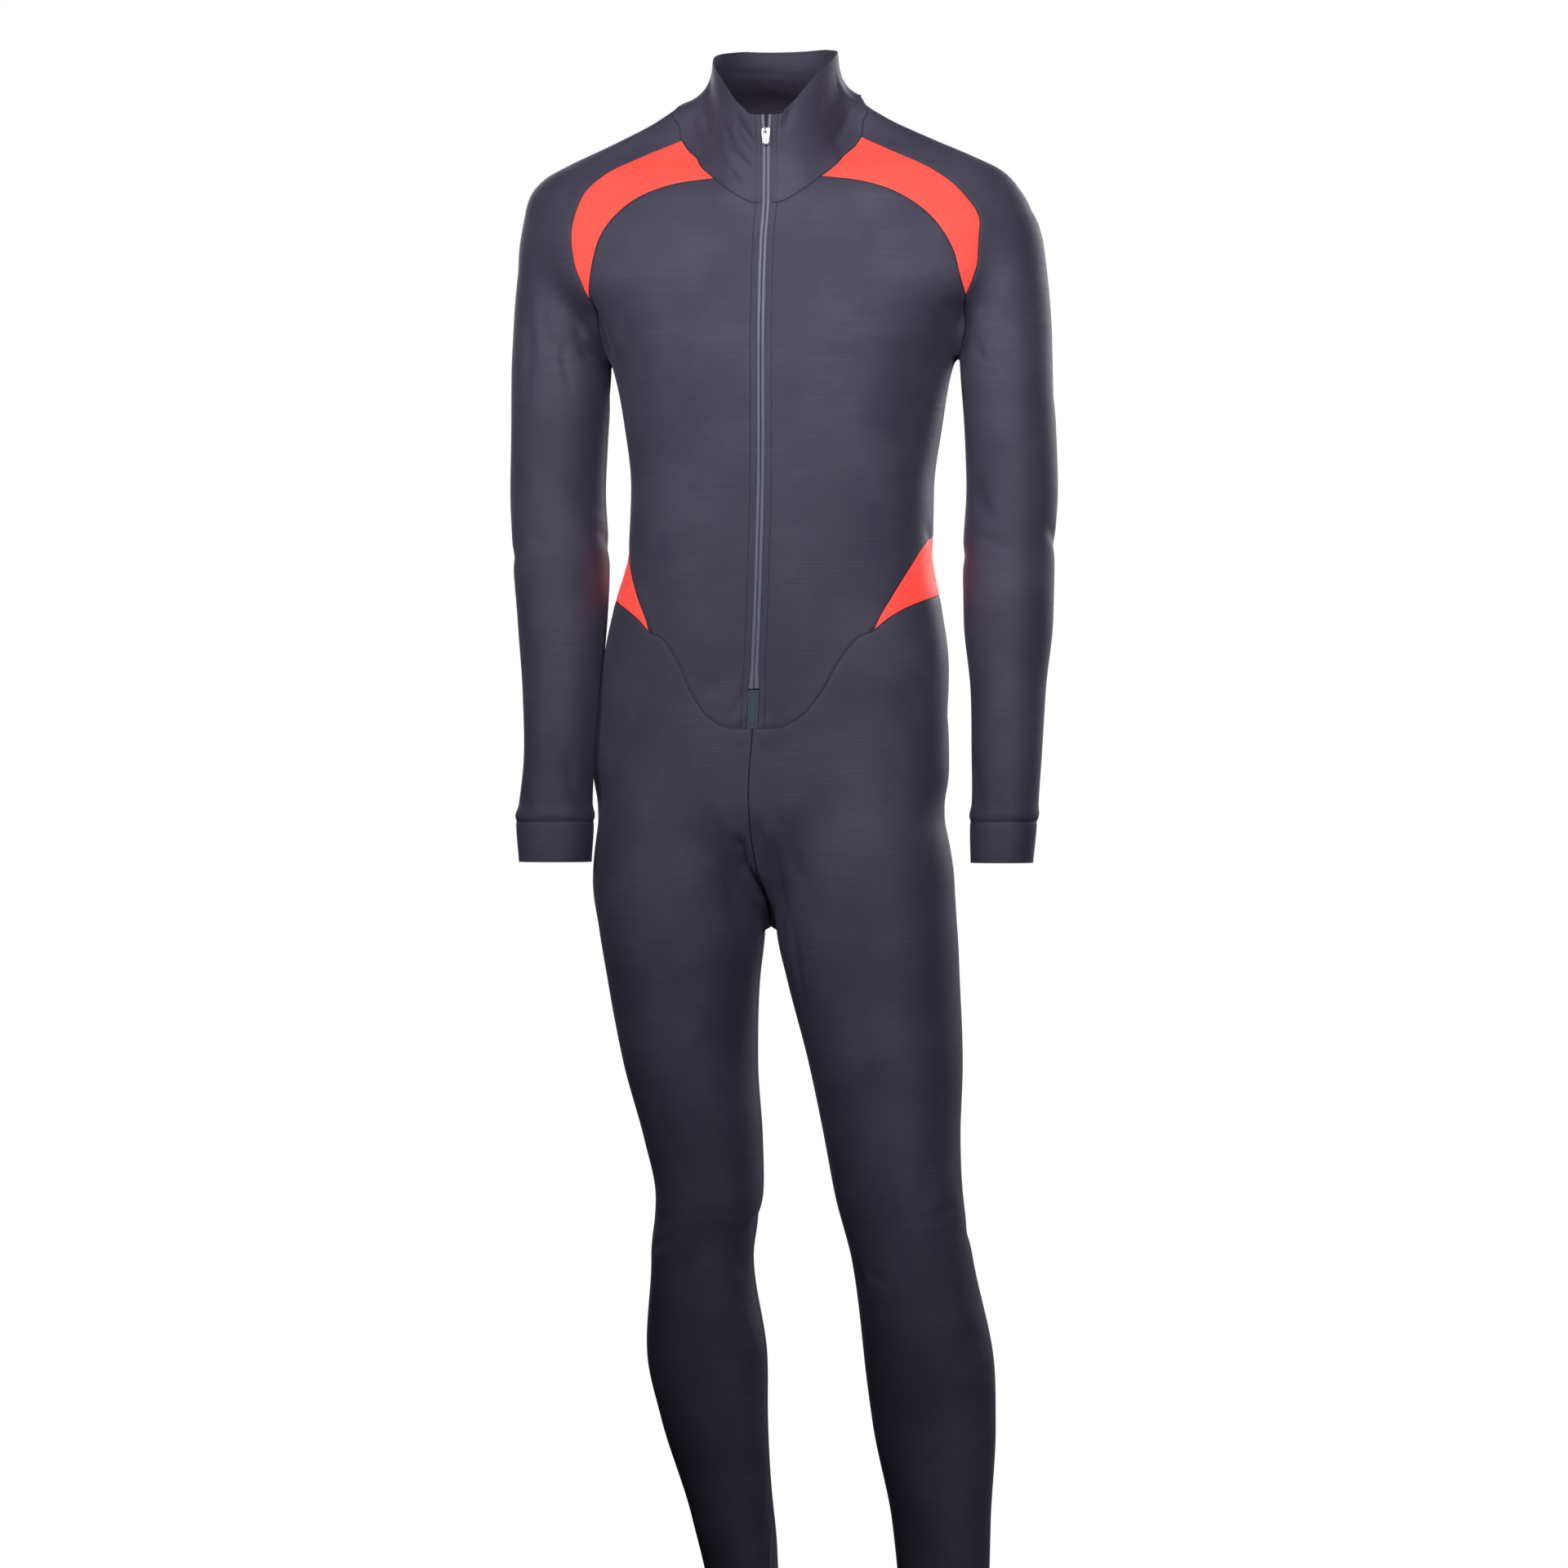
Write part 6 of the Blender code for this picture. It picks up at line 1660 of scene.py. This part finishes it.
# Fluorescent coral cloth. Its emission is a painted glow: the cloth gives off light of its own colour, so
# it stays bright in shade and throws a faint red glow onto the cloth beside it.
CORAL = knit("coral", (1.0, 0.072, 0.054), (1.0, 0.13, 0.10), 0.62, 0.18, (1.0, 0.75, 0.70), 0.50)
ZIP = speckled("zip_nylon", (0.125, 0.128, 0.190), (0.165, 0.170, 0.240), 0.42)
PATCH = speckled("patch_fabric", (0.046, 0.066, 0.100), (0.075, 0.100, 0.140), 0.75, grain=1600.0)
METAL = speckled("slider_alloy", (0.46, 0.465, 0.49), (0.60, 0.60, 0.62), 0.34, 0.75, 700.0)
# Thread for the seam cords and stitches, much darker than the cloth. On the seam cords this dark colour is
# also painted shade along each seam line.
DARK_THREAD_AND_SEAM_SHADE = speckled("thread", (0.022, 0.019, 0.034), (0.036, 0.032, 0.052), 0.7, grain=2500.0)


# The suit

seams = {side: side_seams(side) for side in (1, -1)}
words = {1: "left", -1: "right"}
fronts, lines, ways, sewn, sewn_ways = {}, [], [], [], []


def seam(face, out, rows=slice(None), columns=slice(None)):
    """Keeps one line of a grid, to lay a seam's cord along it."""
    line, way = face[rows, columns], out[rows, columns]
    if np.linalg.norm(line[0] - line[-1]) > SHORTEST_SEAM or len(line) > RING_POINTS:
        lines.append(line - way * SEAM_SUNK)
        ways.append(way)


def sew(line, out, length=STITCH_LENGTH, pitch=STITCH_PITCH):
    """Keeps a row of stitches along a line: a short arched stretch of it for each."""
    at = lengths_along(line)
    arch = np.array(STITCH_ARCH)[:, None] * THREAD_PROUD
    for start in np.arange(pitch / 2, at[-1] - length, pitch):
        place = start + length * np.linspace(0, 1, len(arch))
        way = read_along(place, at, out)
        sewn.append(read_along(place, at, line) + way * arch)
        sewn_ways.append(way)


for side in (1, -1):
    word, own = words[side], seams[side]
    fronts[side] = front_grid(side, own)
    face, out = cloth(f"front_{word}_cloth", fronts[side], EDGES, ANTHRACITE, shape=placket)
    seam(face, out, columns=-1)
    seam(face, out, rows=-1)
    sew(*offset_line(face, out, "first", PLACKET_WIDTH))
    cloth(f"shoulder_band_{word}_cloth", band_grid(side, own), ("first", "last", "bottom"), CORAL)
    face, out = cloth(f"waist_wedge_{word}_cloth", wedge_grid(side, own), ("top", "bottom"), CORAL)
    seam(face, out, rows=-1)
    seam(face, out, rows=0)
    grid, tube = sleeve_grid(side, own)
    name = f"sleeve_{word}_cloth"
    face, out = cloth(name, grid, EDGES, ANTHRACITE, tube, sleeved(side), 2 * SEAM_GAP, bloused)
    seam(face, out, columns=0)
    seam(face, out, rows=slice(0, tube + 2), columns=-1)
    seam(face, out, rows=-1)
    cloth(f"cuff_{word}_cloth", cuff_grid(side), ("top",), ANTHRACITE, 0, sleeved(side))
    grid, tube = leg_grid(side, own)
    name = f"leg_{word}_cloth"
    edges = ("first", "last", "top")
    face, out = cloth(name, grid, edges, ANTHRACITE, tube, shape=turned_hem)
    seam(face, out, columns=0)
    seam(face, out, rows=slice(0, tube + 2), columns=-1)
    sew(*offset_line(face, out, "bottom", HEM_HEIGHT_ABOVE))
face, out = cloth("back_panel_cloth", back_grid(seams[1], seams[-1]), EDGES, ANTHRACITE)
seam(face, out, rows=-1)

collar = collar_grid(seams[1], seams[-1])
middles = collar_middles(collar)
way = grid_normals(collar, middles)
way[0] = normals(collar[0])
way[1] = unit(way[0] + way[2])
collar_edges = {side: (collar[:, column], way[:, column]) for side, column in ((1, 0), (-1, -1))}
face = collar + way * fold_depth(collar, way, COLLAR_FOLDS)[..., None]
outer = grooved(face, way, ("first", "last", "bottom"))
outer = placket(outer, way, ("first", "last"))
outer = drawn_in(outer, way, ("first", "last"))
outer = drawn_in(outer, way, ("top",), 2 * SEAM_GAP)
made = closed_wall("collar_cloth", outer, outer - way * SHELL, ANTHRACITE)
rides(made, "collar")
seam(face, way, rows=0)

patch_edges = {}
for side in (1, -1):
    body_edge = fronts[side][:, 0]
    edge, edge_way = collar_edges[side]
    edge = joined(body_edge[::-1], edge)
    edge_way = joined(normals(body_edge)[::-1], edge_way)
    above, patch_edges[side] = split_at(edge, edge_way, COIL_END_HEIGHT)
    zip_row(f"zip_{words[side]}_row", *above, side)
(left_edge, left_way), (right_edge, right_way) = patch_edges[1], patch_edges[-1]
rows, patch_way = end_patch("zip_end_patch", left_edge, right_edge, left_way, right_way)
for column in (2, PATCH_POINTS - 3):
    sew(rows[:, column], patch_way, *PATCH_STITCH)
for row in (1, -2):
    bar = rows[row, 1:-1]
    sew(bar, np.repeat(patch_way[row][None], len(bar), axis=0), *PATCH_BAR)

# The seam cords' near-black thread is partly painted shade: it draws each seam as a dark line.
cords("seam_cords", lines, ways, SEAM_WIDTH, SEAM_PROUD, CORD_SIDES)
cords("topstitches", sewn, sewn_ways, THREAD_WIDTH, THREAD_PROUD, THREAD_SIDES)
slider_and_tab()

# The studio: the floor that the wearer stands on, soft lights and the photograph's camera


def add_light(name, place, aim, width, height, power, spread):
    light = bpy.data.lights.new(name, "AREA")
    light.shape = "RECTANGLE"
    light.size, light.size_y = width, height
    light.energy = power
    light.spread = math.radians(spread)
    made = placed(name, light)
    made.location = place
    made.rotation_euler = (Vector(aim) - Vector(place)).to_track_quat("-Z", "Y").to_euler()


floor_mesh = bpy.data.meshes.new("floor")
turns = np.linspace(0, 2 * math.pi, FLOOR_POINTS, endpoint=False)
ring = [(FLOOR_RADIUS * math.cos(t), FLOOR_RADIUS * math.sin(t), -HOLD_HEIGHT) for t in turns]
floor_mesh.from_pydata(ring, [], [list(range(len(ring)))])
FLOOR_PAINT = speckled("floor_paint", (0.80, 0.80, 0.81), (0.84, 0.84, 0.85), 0.7)
FLOOR_PAINT.node_tree.nodes["Principled BSDF"].inputs["Emission Strength"].default_value = FLOOR_GLOW
floor_mesh.materials.append(FLOOR_PAINT)
floor = placed("floor", floor_mesh)
# The floor is pale to the camera and throws no light up the legs.
floor.visible_diffuse = False
floor.visible_glossy = False

world = bpy.data.worlds.new("studio")
world.use_nodes = True
tree = world.node_tree
room = tree.nodes["Background"]
filled(tree, room, {"Color": WHITE, "Strength": ROOM_LIGHT})
white = linked(tree, "ShaderNodeBackground", {"Color": WHITE, "Strength": 1.0})
seen = linked(tree, "ShaderNodeLightPath", {}).outputs["Is Camera Ray"]
either = linked(tree, "ShaderNodeMixShader", {0: seen, 1: room.outputs[0], 2: white.outputs[0]})
filled(tree, tree.nodes["World Output"], {"Surface": either.outputs[0]})
bpy.context.scene.world = world
bpy.context.scene.view_settings.view_transform = "Standard"

for row in LIGHTS:
    add_light(*row)

lens = bpy.data.cameras.new("camera")
lens.sensor_width = SENSOR
lens.lens = SENSOR * CAMERA_DISTANCE / FRAME_WIDTH
camera = placed("camera", lens)
turn = math.radians(CAMERA_TURN)
camera.location = (
    CAMERA_DISTANCE * math.sin(turn),
    -CAMERA_DISTANCE * math.cos(turn),
    CAMERA_HEIGHT - HOLD_HEIGHT,
)
camera.rotation_euler = (math.pi / 2, 0.0, turn)
bpy.context.scene.camera = camera
